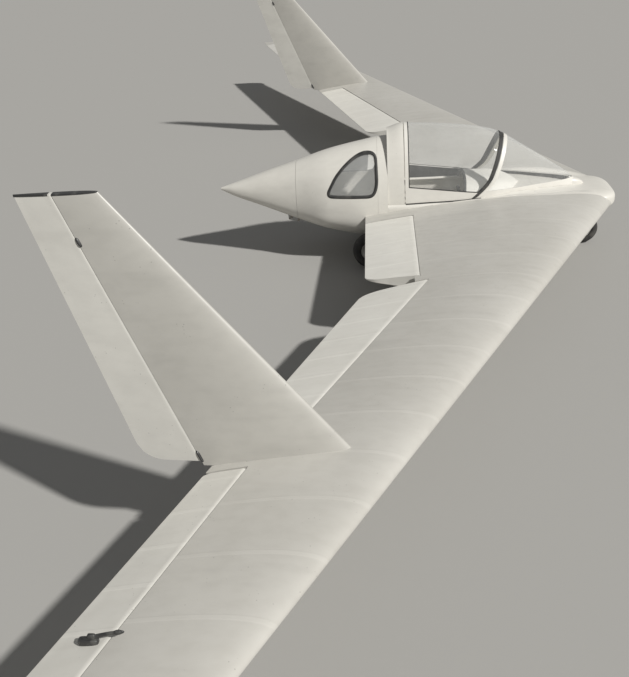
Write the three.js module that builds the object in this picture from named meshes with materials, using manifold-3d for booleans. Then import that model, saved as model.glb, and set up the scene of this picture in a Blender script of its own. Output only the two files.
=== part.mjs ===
// Tailless sailplane: swept wing, two fins and a short central pod that stands on three wheels.
// Millimetres. The nose points to -Y, port is +X and the ground is the plane z = 0.
// Tables use the aircraft frame: y = 0 lies on the chord line of the wing, z = 0 on the chord plane.
import * as THREE from 'three';
import { mergeVertices } from 'three/addons/utils/BufferGeometryUtils.js';
import Module from 'manifold-3d';

const wasm = await Module();
wasm.setup();

// Driving dimensions
const GROUND_BELOW_CHORD = 460;
const BOX_CENTRE_Y = 530.5;
const SIT = 0.3;
const PORT = 1;
const STARBOARD = -1;
const SIDES = [
  { side: STARBOARD, word: 'starboard' },
  { side: PORT, word: 'port' },
];

// Wing
const ROOT_SPAN = 250;
const PANEL_END = 7300;
const TIP_SPAN = 7500;
const DIHEDRAL = 0.04;
const FOIL_ABOVE = 0.6;
const TRAILING_EDGE_HALF = 2;
const leadingEdge = (x) => -1560 + 0.4847 * x;
const sweptTrailingEdge = (x) => 0.3415 * x;

// Wing stations: span, trailing edge, thickness as a share of the chord
const WING_STATIONS = [
  { x: ROOT_SPAN, aft: 738, share: 0.112 },
  { x: 1980, aft: 720, share: 0.135 },
  { x: 2020, aft: sweptTrailingEdge(2020), share: 0.138 },
  { x: PANEL_END, aft: sweptTrailingEdge(PANEL_END), share: 0.12 },
];

// Tip fairing stations: span, leading edge, trailing edge, thickness as a share of the chord
const TIP_STATIONS = [
  { x: PANEL_END + 2 * SIT, fore: 1980, aft: sweptTrailingEdge(PANEL_END), share: 0.12 },
  { x: 7440, fore: 2062, aft: 2541, share: 0.11 },
  { x: 7485, fore: 2130, aft: 2557, share: 0.085 },
  { x: TIP_SPAN, fore: 2250, aft: 2561, share: 0.04 },
];

// Trailing edge surfaces: name, hinge ends and outline behind the hinge as [span, aft] pairs
const RUNNING_GAP = 7;
const END_GAP = 12;
const PIN_RADIUS = 7;
const PIN_PLAY = 0.5;
const PIN_DEPTH = 24;
const PIN_ROOT = 10;
const SURFACES = [
  {
    name: 'centre_flap',
    hinge: [[592, 336], [1968, 336]],
    outline: [[1968, 540], [1890, 760], [1800, 900], [592, 900]],
  },
  {
    name: 'inner_flap',
    hinge: [[2072, 283], [4040, 1098]],
    outline: [[4040, 1500], [2500, 1500], [2230, 790], [2150, 712], [2105, 620]],
  },
  {
    name: 'elevon',
    hinge: [[4300, 1273], [7272, 2253]],
    outline: [[7272, 2700], [4300, 1600]],
  },
];
const NOTCH = [[1950, 362], [2095, 362], [2095, 950], [1950, 950]];

// Mass balance that stands over the elevon hinge
const BALANCE_SPAN = 5400;
const BALANCE_ARM = { length: 110, width: 11, rise: 90 };
const BALANCE_RADIUS = 16;

// Fin and rudder, aircraft frame: height of the foot and top, and each edge at both heights
const FIN_FOOT = 174;
const FIN_TOP = 1541;
const FIN_SPAN_FOOT = 4200;
const FIN_SPAN_TOP = 4056;
const FIN_SHARE = 0.085;
const FIN_EDGES = {
  fore: { foot: 694, top: 1817 },
  hinge: { foot: 1494, top: 2035 },
  aft: { foot: 1781, top: 2201 },
};
const RUDDER_FOOT = 196;
const RUDDER_CORNER = 90;
const FIN_LUGS = [360, 1320];
const LUG = { height: 22, width: 16, pin: 36 };
const LUG_CLEAR = 7;

// Pod sections below the canopy: station, half width, height of the widest line, top, bottom
const POD_LOW = [
  { y: -1500, w: 40, mid: 20, top: 44, low: -6 },
  { y: -1440, w: 262, mid: 20, top: 92, low: -64 },
  { y: -1200, w: 330, mid: 24, top: 122, low: -130 },
  { y: -900, w: 372, mid: 36, top: 146, low: -205 },
  { y: -560, w: 385, mid: 46, top: 160, low: -270 },
  { y: -250, w: 388, mid: 48, top: 150, low: -298 },
  { y: 150, w: 390, mid: 48, top: 142, low: -300 },
  { y: 560, w: 392, mid: 46, top: 140, low: -270 },
  { y: 625, w: 392, mid: 45, top: 140, low: -262 },
];
const POD_HIGH = [
  { y: 532, w: 390, mid: 46, top: 632, low: -273 },
  { y: 620, w: 392, mid: 45, top: 622, low: -262 },
  { y: 780, w: 396, mid: 36, top: 592, low: -235 },
  { y: 1060, w: 368, mid: 32, top: 532, low: -170 },
  { y: 1360, w: 258, mid: 82, top: 440, low: -80 },
  { y: 1700, w: 150, mid: 152, top: 338, low: 42 },
  { y: 1950, w: 72, mid: 190, top: 256, low: 132 },
  { y: 2083, w: 12, mid: 203, top: 214, low: 192 },
];
const DECK_POWER = 4;
const BELLY_POWER = 2.6;
const POD_WALL = 18;
const ROOT_OVERLAP = 18;
const NOSE_JOINT = -760;
const CABIN_JOINT = 620;
const TAIL_JOINT = 1360;
const CAVITY_FORE = -640;
const CAVITY_AFT = 1150;

// Canopy sections: station, half width, top
const CANOPY = [
  { y: -1150, w: 50, top: 168 },
  { y: -1080, w: 92, top: 232 },
  { y: -950, w: 140, top: 322 },
  { y: -800, w: 192, top: 420 },
  { y: -660, w: 244, top: 508 },
  { y: -510, w: 292, top: 600 },
  { y: -380, w: 326, top: 655 },
  { y: -100, w: 358, top: 705 },
  { y: 200, w: 365, top: 730 },
  { y: 380, w: 370, top: 738 },
  { y: 526, w: 370, top: 700 },
];
const CANOPY_MID = 60;
const CANOPY_CUT = CANOPY[0].y + 4;

// Front of the cockpit opening in the deck; from its last row on, the opening follows the canopy
const HATCH_FRONT = [
  { y: -600, w: 140, top: 400 },
  { y: -510, w: 240, top: 600 },
  { y: -380, w: 310, top: 655 },
];
const CANOPY_LOW = -40;
const GLASS = 5;
const FRAME_DEPTH = 16;
const FRAME_WIDTH = 34;
const HOOP = { fore: 385, aft: 531 };
const HOOD_LIFT = 6;

// Windscreen frame and hood front lean forward with height: stations where their faces cross the sill,
// and how far the bow has gone forward at each height
const SILL = 144;
const SCREEN_BOW = [[-200, -200], [60, -140], [144, -45], [200, 18], [276, 88], [366, 128], [450, 158], [556, 190],
  [660, 220], [900, 290]];
const SCREEN_AFT = -300;

// Upper edge of the windscreen's foot rail
const SCREEN_RAIL = 186;
const HOOD = { fore: -293, aft: 378 };

// Top edge of the hood's side rails, in front and at the rear
const RAIL_TOP = { fore: 178, aft: 262 };

// Opening hood hinge line along the port sill
const HINGE_X = 382;
const HINGE_Z = SILL;
const HINGE_RADIUS = 5;
const HINGE_PLAY = 0.6;
const HINGE_STATIONS = [-150, 230];
const KNUCKLE = { half: 28, radius: 12, tongue: 8, inner: 335 };
const HINGE_POST = { reach: 60, gap: 36, length: 24, inner: 14, outer: 8 };

// Quarter windows in the rear deck, outline as [station, height] pairs
const QUARTER = [[640, 532], [632, 300], [662, 200], [1070, 205], [985, 355], [905, 438], [815, 502], [735, 534]];
const QUARTER_REACH = { inner: 90, outer: 500 };

// Wheels: station, half track, radius, tyre width
const NOSE_WHEEL = { y: -1262, track: 0, radius: 140, width: 84 };
const MAIN_WHEEL = { y: 690, track: 434, radius: 170, width: 96 };
const HUB_SHARE = 0.56;
const AXLE_RADIUS = 14;
const AXLE_PLAY = 0.4;
const WHEEL_STEPS = 24;

// Finishes: colour, roughness, metalness
const FINISHES = {
  skin: [0xcfcbc0, 0.5, 0],
  cream: [0xe6e1d4, 0.45, 0],
  glass: [0xdfe6e6, 0.08, 0],
  seal: [0x2d2c2a, 0.7, 0],
  cabin: [0xb9b5aa, 0.7, 0],
  cloth: [0x59524a, 0.95, 0],
  tyre: [0x1c1b1a, 0.85, 0],
  rim: [0xb8b8b4, 0.4, 0.8],
  steel: [0x6f7072, 0.45, 0.9],
};

const craft = new THREE.Group();
craft.position.set(0, -BOX_CENTRE_Y, GROUND_BELOW_CHORD);

/** Adds one named piece with its own material to a group. */
function piece(parent, name, solidOrGeometry, finish) {
  const geometry = solidOrGeometry.isBufferGeometry ? solidOrGeometry : geometryOf(solidOrGeometry);
  const [color, roughness, metalness] = FINISHES[finish];
  const mesh = new THREE.Mesh(geometry, new THREE.MeshStandardMaterial({ color, roughness, metalness }));
  mesh.name = name;
  parent.add(mesh);
  return mesh;
}

/** Turns a closed three.js geometry into a solid for joins and cuts. */
function solidOf(geometry) {
  const bare = geometry.clone();
  bare.deleteAttribute('normal');
  bare.deleteAttribute('uv');
  const merged = mergeVertices(bare, 1e-4);
  const index = merged.index.array;
  return new wasm.Manifold(new wasm.Mesh({
    numProp: 3,
    vertProperties: new Float32Array(merged.attributes.position.array),
    triVerts: new Uint32Array(index),
  }));
}

/** Turns a solid back into a three.js geometry. */
function geometryOf(solid) {
  const mesh = solid.getMesh();
  const geometry = new THREE.BufferGeometry();
  geometry.setAttribute('position', new THREE.BufferAttribute(mesh.vertProperties.slice(), 3));
  geometry.setIndex(new THREE.BufferAttribute(mesh.triVerts.slice(), 1));
  return geometry;
}

/** Keeps the largest body of a solid, without the slivers that a cut may leave. */
function mainBody(solid) {
  const bodies = solid.decompose();
  return bodies.reduce((best, body) => (body.volume() > best.volume() ? body : best));
}

/** Joins rings of equal length into one closed body, with flat ends. */
function loft(rings) {
  const count = rings[0].length;
  const points = rings.flat();
  const faces = [];
  for (let r = 0; r + 1 < rings.length; r += 1) {
    for (let i = 0; i < count; i += 1) {
      const j = (i + 1) % count;
      const a = r * count + i;
      const b = r * count + j;
      faces.push(a, b, b + count, a, b + count, a + count);
    }
  }
  for (const [r, flip] of [[0, true], [rings.length - 1, false]]) {
    const start = r * count;
    for (let i = 1; i + 1 < count; i += 1) {
      faces.push(start, ...(flip ? [start + i + 1, start + i] : [start + i, start + i + 1]));
    }
  }
  const geometry = new THREE.BufferGeometry().setFromPoints(points);
  geometry.setIndex(faces);
  return outward(geometry);
}

/** Turns the faces of a closed geometry so that they point out. */
function outward(geometry) {
  const position = geometry.attributes.position;
  const index = geometry.index.array;
  const [a, b, c] = [new THREE.Vector3(), new THREE.Vector3(), new THREE.Vector3()];
  let volume = 0;
  for (let i = 0; i < index.length; i += 3) {
    a.fromBufferAttribute(position, index[i]);
    b.fromBufferAttribute(position, index[i + 1]);
    c.fromBufferAttribute(position, index[i + 2]);
    volume += a.dot(b.cross(c));
  }
  if (volume < 0) {
    for (let i = 0; i < index.length; i += 3) {
      [index[i + 1], index[i + 2]] = [index[i + 2], index[i + 1]];
    }
  }
  return geometry;
}

/** Half thickness of the section at a share of the chord, for a thickness of 1. */
function foilHalf(s) {
  const t = 0.2969 * Math.sqrt(s) - 0.126 * s - 0.3516 * s ** 2 + 0.2843 * s ** 3 - 0.1036 * s ** 4;
  return 5 * t;
}

const FOIL_SHARES = [0, 0.008, 0.03, 0.07, 0.13, 0.21, 0.32, 0.45, 0.6, 0.74, 0.87, 1];

/** Section outline as [chord share, height share] pairs, over the top and back below. */
function foilOutline(above) {
  const top = FOIL_SHARES.map((s) => [s, 2 * above * foilHalf(s), 1]);
  const below = FOIL_SHARES.slice(1).reverse().map((s) => [s, -2 * (1 - above) * foilHalf(s), -1]);
  return [...top, ...below];
}

const WING_OUTLINE = foilOutline(FOIL_ABOVE);
const FIN_OUTLINE = foilOutline(0.5);

/** Ring of one wing section. */
function wingRing(side, station) {
  const fore = station.fore ?? leadingEdge(station.x);
  const chord = station.aft - fore;
  const thick = chord * station.share;
  return WING_OUTLINE.map(([s, h, face]) => new THREE.Vector3(
    side * station.x,
    fore + s * chord,
    DIHEDRAL * station.x + h * thick + face * TRAILING_EDGE_HALF * s,
  ));
}

/** Chord, thickness and edges of the wing at any span, between its stations. */
function wingAt(x) {
  const last = WING_STATIONS.length - 2;
  const found = WING_STATIONS.findIndex((s, i) => i > 0 && x <= s.x) - 1;
  const i = found < 0 ? last : found;
  const [a, b] = [WING_STATIONS[i], WING_STATIONS[i + 1]];
  const k = (x - a.x) / (b.x - a.x);
  const depth = (s) => (s.aft - leadingEdge(s.x)) * s.share;
  const fore = leadingEdge(x);
  return { fore, aft: a.aft + k * (b.aft - a.aft), thick: depth(a) + k * (depth(b) - depth(a)) };
}

/** Centre and half thickness of the wing at a plan point. */
function wingCore(x, y) {
  const { fore, aft, thick } = wingAt(x);
  const share = (y - fore) / (aft - fore);
  const half = thick * foilHalf(share) + TRAILING_EDGE_HALF * share;
  const lift = (2 * FOIL_ABOVE - 1) * thick * foilHalf(share);
  return { z: DIHEDRAL * x + lift, half };
}

/** Round bar between two points, with its own radius at each end. */
function bar(from, to, radiusFrom, radiusTo, steps = 16) {
  const line = new THREE.Vector3().subVectors(to, from);
  const geometry = new THREE.CylinderGeometry(radiusTo, radiusFrom, line.length(), steps);
  const turn = new THREE.Quaternion().setFromUnitVectors(new THREE.Vector3(0, 1, 0), line.clone().normalize());
  geometry.applyQuaternion(turn);
  geometry.translate(...new THREE.Vector3().addVectors(from, to).multiplyScalar(0.5).toArray());
  return geometry;
}

/** Upright block over an outline of [span, aft] pairs. */
function planBlock(side, outline, low = -900, high = 1200) {
  const shape = new THREE.Shape(outline.map(([x, y]) => new THREE.Vector2(side * x, y)));
  const geometry = new THREE.ExtrudeGeometry(shape, { depth: high - low, bevelEnabled: false });
  geometry.translate(0, 0, low);
  return geometry;
}

/** Block over an outline of [station, height] pairs, between two spans. */
function sideBlock(outline, fromX, toX) {
  const shape = new THREE.Shape(outline.map(([y, z]) => new THREE.Vector2(y, z)));
  const geometry = new THREE.ExtrudeGeometry(shape, { depth: toX - fromX, bevelEnabled: false });
  geometry.applyMatrix4(new THREE.Matrix4().set(0, 0, 1, fromX, 1, 0, 0, 0, 0, 1, 0, 0, 0, 0, 0, 1));
  return geometry;
}

/** Plain block between two corners. */
function block(from, to) {
  const [dx, dy, dz] = to.map((value, i) => value - from[i]);
  const geometry = new THREE.BoxGeometry(dx, dy, dz);
  geometry.translate(from[0] + dx / 2, from[1] + dy / 2, from[2] + dz / 2);
  return geometry;
}

/** Ring of a pod or canopy section, a superellipse above and below its widest line. */
function roundRing(section, inset = 0, steps = 28) {
  const bend = (value, power) => Math.sign(value) * Math.abs(value) ** (2 / power);
  return Array.from({ length: steps }, (_, i) => {
    const angle = (2 * Math.PI * i) / steps;
    const above = Math.sin(angle) > 0;
    const power = above ? section.up ?? 2 : section.under ?? 2;
    const height = above ? section.top - section.mid : section.mid - section.low;
    return new THREE.Vector3(
      (section.w - inset) * bend(Math.cos(angle), power),
      section.y,
      section.mid + (height - inset) * bend(Math.sin(angle), power),
    );
  });
}

/** Section between the rows of a table at any station. */
function sectionAt(table, y) {
  const next = table.findIndex((s) => s.y > y);
  const i = next < 0 ? table.length - 1 : Math.max(next, 1);
  const [a, b] = [table[i - 1], table[i]];
  const k = (y - a.y) / (b.y - a.y);
  return Object.fromEntries(Object.keys(a).map((key) => [key, a[key] + k * (b[key] - a[key])]));
}

/** Rows of a table between two stations, with rows added at both ends. */
function sectionsBetween(table, fore, aft) {
  const inside = table.filter((s) => s.y > fore + 1 && s.y < aft - 1);
  return [sectionAt(table, fore), ...inside, sectionAt(table, aft)];
}

/** Loft over the rows of a table, moved in by an inset. */
function tableLoft(table, inset = 0) {
  return solidOf(loft(table.map((s) => roundRing(s, inset))));
}

const canopyTable = CANOPY.map((s) => ({ ...s, mid: CANOPY_MID, low: CANOPY_LOW }));

/** Shell of the canopy between two stations, between two insets. */
function canopyShell(fore, aft, outer, inner) {
  const outside = tableLoft(sectionsBetween(canopyTable, fore, aft), outer);
  const inside = tableLoft(sectionsBetween(canopyTable, fore - 9, aft + 9), inner);
  return outside.subtract(inside);
}

/** Slab across the whole craft between two stations. */
function slab(fore, aft) {
  return solidOf(block([-900, fore, -900], [900, aft, 1300]));
}

/** Outline of a face that leans forward by the windscreen's bow, as [station, height] pairs going up. */
function leaning(y, low = SCREEN_BOW[0][0]) {
  return SCREEN_BOW.filter(([z]) => z >= low).map(([z, forward]) => [y - forward, z]);
}

/** Slab between two leaning faces, or between a leaning face and an upright one. */
function leaningSlab(fore, aft, uprightAft = false) {
  const front = leaning(fore);
  const rear = uprightAft ? front.map(([, z]) => [aft, z]) : leaning(aft);
  return solidOf(sideBlock([...rear, ...front.reverse()], -900, 900));
}

/** Window of the hood: over the rails, between its leaning front bow and its upright rear bow. */
function hoodWindow(grow) {
  const fore = leaning(HOOD.fore + FRAME_WIDTH - grow, RAIL_TOP.fore);
  const aft = HOOD.aft - FRAME_WIDTH + grow;
  const high = fore[fore.length - 1][1];
  const outline = [[fore[0][0], RAIL_TOP.fore - grow], [aft, RAIL_TOP.aft - grow], [aft, high], ...fore.reverse()];
  return solidOf(sideBlock(outline, -900, 900));
}

// Wing halves before any cut, for the pieces that stand on them
const wholeWings = SIDES.map(({ side }) => solidOf(loft(WING_STATIONS.map((s) => wingRing(side, s)))));
const clearOfWings = (solid, gap) => solid
  .subtract(wholeWings[0].translate(0, 0, gap))
  .subtract(wholeWings[1].translate(0, 0, gap));

// Pod
POD_LOW.forEach((s) => Object.assign(s, { up: DECK_POWER, under: BELLY_POWER }));
POD_HIGH.forEach((s) => Object.assign(s, { up: 2, under: BELLY_POWER }));
const podOuter = tableLoft(POD_LOW).add(tableLoft(POD_HIGH));
const podGrown = tableLoft(POD_LOW, -2 * SIT).add(tableLoft(POD_HIGH, -2 * SIT));
const cavityLow = tableLoft(sectionsBetween(POD_LOW, CAVITY_FORE, CABIN_JOINT), POD_WALL);
const cavityHigh = tableLoft(sectionsBetween(POD_HIGH, 520, CAVITY_AFT), POD_WALL);
const SILL_LEDGE = FRAME_DEPTH + 8;
const hatchTable = [
  ...HATCH_FRONT.map((s) => ({ ...s, mid: CANOPY_MID, low: CANOPY_LOW })),
  ...canopyTable.filter((s) => s.y > HATCH_FRONT[HATCH_FRONT.length - 1].y),
];
const hatch = tableLoft(sectionsBetween(hatchTable, HATCH_FRONT[0].y, HOOP.aft), SILL_LEDGE);

/** Block over an outline on one side of the rear deck. */
function quarterBlock(outline, side) {
  const { inner, outer } = QUARTER_REACH;
  return solidOf(sideBlock(outline, side > 0 ? inner : -outer, side > 0 ? outer : -inner));
}

const quarterCut = [STARBOARD, PORT].map((side) => quarterBlock(QUARTER, side));
const podShell = podOuter
  .subtract(cavityLow)
  .subtract(cavityHigh)
  .subtract(hatch)
  .subtract(quarterCut[0])
  .subtract(quarterCut[1]);
piece(craft, 'pod_nose', mainBody(podShell.intersect(slab(-2000, NOSE_JOINT - SIT))), 'skin');
piece(craft, 'pod_cabin', mainBody(podShell.intersect(slab(NOSE_JOINT, CABIN_JOINT - SIT))), 'cream');
piece(craft, 'pod_rear', mainBody(podShell.intersect(slab(CABIN_JOINT, TAIL_JOINT - SIT))), 'cream');
piece(craft, 'tail_cone', mainBody(podShell.intersect(slab(TAIL_JOINT, 2500))), 'cream');

// Quarter windows follow the skin of the rear deck
const PANE_INSET = 8;
const deckSkin = tableLoft(sectionsBetween(POD_HIGH, 560, 1200), PANE_INSET)
  .subtract(tableLoft(sectionsBetween(POD_HIGH, 550, 1210), PANE_INSET + GLASS));
for (const { side, word } of SIDES) {
  const inset = new THREE.Vector2(0, 0);
  QUARTER.forEach(([y, z]) => inset.add(new THREE.Vector2(y, z).divideScalar(QUARTER.length)));
  const shrunk = QUARTER.map(([y, z]) => {
    const away = new THREE.Vector2(y, z).sub(inset);
    return inset.clone().add(away.setLength(away.length() - 1)).toArray();
  });
  piece(craft, `quarter_window_${word}`, mainBody(deckSkin.intersect(quarterBlock(shrunk, side))), 'glass');
}

// Fixed windscreen, hoop and the frame between screen and hood
const FRAME_PROUD = 3;
const CRAFT_FORE = -2000;
const SCREEN_END = -100;
const foot = solidOf(block([-900, CRAFT_FORE, -900], [900, SCREEN_END, SCREEN_RAIL]));
const screenGlass = canopyShell(CANOPY_CUT, SCREEN_END, 0, GLASS)
  .intersect(leaningSlab(CRAFT_FORE, SCREEN_AFT - FRAME_WIDTH - SIT))
  .subtract(foot.translate(0, 0, SIT))
  .subtract(podGrown);
piece(craft, 'windscreen_glass', mainBody(screenGlass), 'glass');
const screenFrame = canopyShell(CANOPY_CUT, SCREEN_END, -FRAME_PROUD, FRAME_DEPTH)
  .intersect(leaningSlab(SCREEN_AFT - FRAME_WIDTH, SCREEN_AFT)
    .add(foot.intersect(leaningSlab(CRAFT_FORE, SCREEN_AFT - FRAME_WIDTH))))
  .add(tableLoft([canopyTable[0], { ...canopyTable[0], y: CANOPY_CUT + GLASS }]).intersect(foot))
  .subtract(podGrown);
piece(craft, 'windscreen_frame', mainBody(screenFrame), 'cream');
const hoop = canopyShell(HOOP.fore, HOOP.aft, -FRAME_PROUD, FRAME_DEPTH).subtract(podGrown);
piece(craft, 'canopy_hoop', mainBody(hoop), 'cream');

// Opening hood: frame all round, glass inside it, hinged along the port sill
const hood = new THREE.Group();
hood.name = 'hood_pivot';
hood.position.set(HINGE_X, 0, HINGE_Z);
craft.add(hood);
const podClear = tableLoft(POD_LOW, -HOOD_LIFT);
const hoodWhole = canopyShell(CANOPY_CUT, HOOD.aft, -FRAME_PROUD, FRAME_DEPTH)
  .intersect(leaningSlab(HOOD.fore, HOOD.aft, true))
  .subtract(podClear);
const toHood = (solid) => solid.translate(-HINGE_X, 0, -HINGE_Z);
const knuckles = HINGE_STATIONS.map((y) => solidOf(bar(
  new THREE.Vector3(HINGE_X, y - KNUCKLE.half, HINGE_Z),
  new THREE.Vector3(HINGE_X, y + KNUCKLE.half, HINGE_Z),
  KNUCKLE.radius,
  KNUCKLE.radius,
)).add(solidOf(block(
  [KNUCKLE.inner, y - KNUCKLE.half, HINGE_Z - KNUCKLE.tongue],
  [HINGE_X - 2, y + KNUCKLE.half, HINGE_Z + KNUCKLE.tongue],
))));
const knuckleBore = solidOf(bar(
  new THREE.Vector3(HINGE_X, -300, HINGE_Z),
  new THREE.Vector3(HINGE_X, 400, HINGE_Z),
  HINGE_RADIUS + HINGE_PLAY,
  HINGE_RADIUS + HINGE_PLAY,
));
const hoodInner = tableLoft(sectionsBetween(canopyTable, HOOD.fore - 9, HOOD.aft + 9), FRAME_DEPTH);
const hoodFrame = hoodWhole
  .subtract(hoodWindow(0))
  .add(knuckles[0].subtract(hoodInner))
  .add(knuckles[1].subtract(hoodInner))
  .subtract(knuckleBore);
piece(hood, 'hood_frame', toHood(mainBody(hoodFrame)), 'cream');
const hoodGlass = canopyShell(CANOPY_CUT, HOOD.aft, 0, GLASS).intersect(hoodWindow(-SIT));
piece(hood, 'hood_glass', toHood(mainBody(hoodGlass)), 'glass');

/** Fixed pin and its posts on the port sill. */
function hoodHinge() {
  const { reach, gap, length, inner, outer } = HINGE_POST;
  const pin = solidOf(bar(
    new THREE.Vector3(HINGE_X, HINGE_STATIONS[0] - reach, HINGE_Z),
    new THREE.Vector3(HINGE_X, HINGE_STATIONS[1] + reach, HINGE_Z),
    HINGE_RADIUS,
    HINGE_RADIUS,
  ));
  const posts = HINGE_STATIONS.flatMap((y) => [y - reach, y + gap])
    .map((y) => solidOf(block([HINGE_X - inner, y, 0], [HINGE_X + outer, y + length, HINGE_Z + outer])));
  return clearOfWings(posts.reduce((whole, post) => whole.add(post), pin).subtract(podGrown), SIT);
}
piece(craft, 'hood_hinge', mainBody(hoodHinge()), 'steel');

// Cabin fittings: profiles in the centre plane as [station, height] pairs
const SEAT_PROFILE = [[-120, -268], [-120, -160], [250, -205], [330, -170], [560, 300], [575, 292], [345, -190],
  [270, -268]];
const SEAT_HALF = 215;
const CUSHION_PROFILE = [[-100, -164], [250, -206], [322, -172], [522, 233], [472, 259], [287, -118], [237, -143],
  [-98, -101]];
const CUSHION_HALF = 200;
const BULKHEAD = { fore: 583, aft: 595, top: 330 };
const HEADREST = { half: 95, fore: 520, aft: 594, top: 470 };
const PANEL = { fore: -352, aft: -338, half: 150, low: -20, top: 236, wingHalf: 410, wingLow: -100, wingTop: 60 };
const STICK = { foot: [0, -190, -246], neck: [0, -125, 60], grip: [0, -127, 40], head: [0, -110, 140] };
const STICK_RADIUS = 11;
const GRIP_RADIUS = 17;
const STICK_BASE = [[-60, -220, -400], [60, -140, -240]];
const PEDAL = { offset: 70, half: 42, fore: -560, aft: -548, low: -190, top: -60 };
const PEDAL_BAR = [[-110, -548, -150], [110, -524, -126]];
const PEDAL_POST = [[-22, -556, -400], [22, -520, -126]];
const room = tableLoft(sectionsBetween(POD_LOW, CAVITY_FORE + 1, CABIN_JOINT - 1), POD_WALL + SIT)
  .add(tableLoft(sectionsBetween(POD_HIGH, 521, CAVITY_AFT - 1), POD_WALL + SIT))
  .add(tableLoft(sectionsBetween(hatchTable, HATCH_FRONT[0].y + 1, HOOP.aft - 1), SILL_LEDGE + SIT));
const seatPan = solidOf(sideBlock(SEAT_PROFILE, -SEAT_HALF, SEAT_HALF));
piece(craft, 'seat_pan', mainBody(seatPan.intersect(room)), 'cabin');
const cushion = solidOf(sideBlock(CUSHION_PROFILE, -CUSHION_HALF, CUSHION_HALF));
piece(craft, 'seat_cushion', mainBody(cushion.intersect(room).subtract(seatPan.translate(0, -SIT, SIT))), 'cloth');
const bulkhead = tableLoft([sectionAt(POD_HIGH, BULKHEAD.fore), sectionAt(POD_HIGH, BULKHEAD.aft)], POD_WALL + SIT)
  .subtract(solidOf(block([-900, 0, BULKHEAD.top], [900, 900, 900])));
piece(craft, 'rear_bulkhead', mainBody(bulkhead), 'cabin');
piece(craft, 'headrest', block(
  [-HEADREST.half, HEADREST.fore, BULKHEAD.top + SIT],
  [HEADREST.half, HEADREST.aft, HEADREST.top],
), 'cloth');
const panel = solidOf(block([-PANEL.half, PANEL.fore, PANEL.low], [PANEL.half, PANEL.aft, PANEL.top]))
  .add(solidOf(block([-PANEL.wingHalf, PANEL.fore, PANEL.wingLow], [PANEL.wingHalf, PANEL.aft, PANEL.wingTop])));
piece(craft, 'instrument_panel', mainBody(panel.intersect(room)), 'cabin');
const at = (corner) => new THREE.Vector3(...corner);
const stick = solidOf(bar(at(STICK.foot), at(STICK.neck), STICK_RADIUS, STICK_RADIUS))
  .add(solidOf(bar(at(STICK.grip), at(STICK.head), GRIP_RADIUS, GRIP_RADIUS)))
  .add(solidOf(block(...STICK_BASE)));
piece(craft, 'control_stick', mainBody(stick.intersect(room)), 'seal');
const pedals = [-PEDAL.offset, PEDAL.offset]
  .map((x) => solidOf(block([x - PEDAL.half, PEDAL.fore, PEDAL.low], [x + PEDAL.half, PEDAL.aft, PEDAL.top])))
  .reduce((whole, pad) => whole.add(pad), solidOf(block(...PEDAL_BAR)))
  .add(solidOf(block(...PEDAL_POST)));
piece(craft, 'rudder_pedals', mainBody(pedals.intersect(room)), 'steel');

// Wings with their trailing edge surfaces
/** Point on a hinge line, at the centre of the wing section. */
function hingePoint(side, [x, y]) {
  return new THREE.Vector3(side * x, y, wingCore(x, y).z);
}

/** Everything that a trailing edge surface needs: pocket, pins and body. */
function surfaceSolids(side, surface, wing) {
  const [a, b] = surface.hinge;
  const [from, to] = [hingePoint(side, a), hingePoint(side, b)];
  const along = new THREE.Vector3().subVectors(to, from).normalize();
  const step = (point, distance) => point.clone().addScaledVector(along, distance);
  const [halfFrom, halfTo] = [a, b].map(([x, y]) => wingCore(x, y).half - 0.4);
  const plan = [a, b, ...surface.outline];
  const middle = (a[0] + b[0]) / 2;
  const wider = plan.map(([x, y]) => {
    const out = Math.sign(x - middle) * END_GAP;
    return [x + out, y + (out * along.y) / Math.abs(along.x)];
  });
  const pocket = solidOf(planBlock(side, wider)).add(solidOf(bar(
    step(from, -END_GAP / Math.abs(along.x)),
    step(to, END_GAP / Math.abs(along.x)),
    halfFrom + RUNNING_GAP,
    halfTo + RUNNING_GAP,
  )));
  const pinAt = (point, sign, radius, grow) => solidOf(bar(
    step(point, -sign * (END_GAP + PIN_ROOT)),
    step(point, sign * (PIN_DEPTH + grow)),
    radius,
    radius,
    10,
  ));
  const pins = pinAt(from, 1, PIN_RADIUS, 0).add(pinAt(to, -1, PIN_RADIUS, 0));
  const bores = pinAt(from, 1, PIN_RADIUS + PIN_PLAY, 8).add(pinAt(to, -1, PIN_RADIUS + PIN_PLAY, 8));
  const body = wing
    .intersect(solidOf(planBlock(side, plan)))
    .add(solidOf(bar(from, to, halfFrom, halfTo)))
    .subtract(bores);
  return { pocket, pins, body: mainBody(body), from, along };
}

for (const [i, { side, word }] of SIDES.entries()) {
  const whole = wholeWings[i];
  const rootLine = POD_LOW.map((s) => [s.w - ROOT_OVERLAP, s.y]);
  const rootCut = solidOf(planBlock(side, [[0, -1900], ...rootLine, [0, POD_LOW.at(-1).y]]));
  let wing = whole.subtract(podGrown).subtract(rootCut).subtract(solidOf(planBlock(side, NOTCH)));
  for (const surface of SURFACES) {
    const { pocket, pins, body, from, along } = surfaceSolids(side, surface, whole);
    wing = wing.subtract(pocket).add(pins);
    const pivot = new THREE.Group();
    pivot.name = `${surface.name}_${word}_pivot`;
    pivot.position.copy(from);
    pivot.userData.axis = along.clone().multiplyScalar(side);
    craft.add(pivot);
    const local = (solid) => solid.translate(-from.x, -from.y, -from.z);
    piece(pivot, `${surface.name}_${word}`, local(body), 'cream');
    if (surface.name === 'elevon') {
      piece(pivot, `mass_balance_${word}`, local(massBalance(side, whole)), 'seal');
    }
  }
  piece(craft, `wing_${word}`, mainBody(wing), 'skin');
  piece(craft, `wingtip_${word}`, loft(TIP_STATIONS.map((s) => wingRing(side, s))), 'cream');
  addFin(side, word, whole);
}

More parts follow.
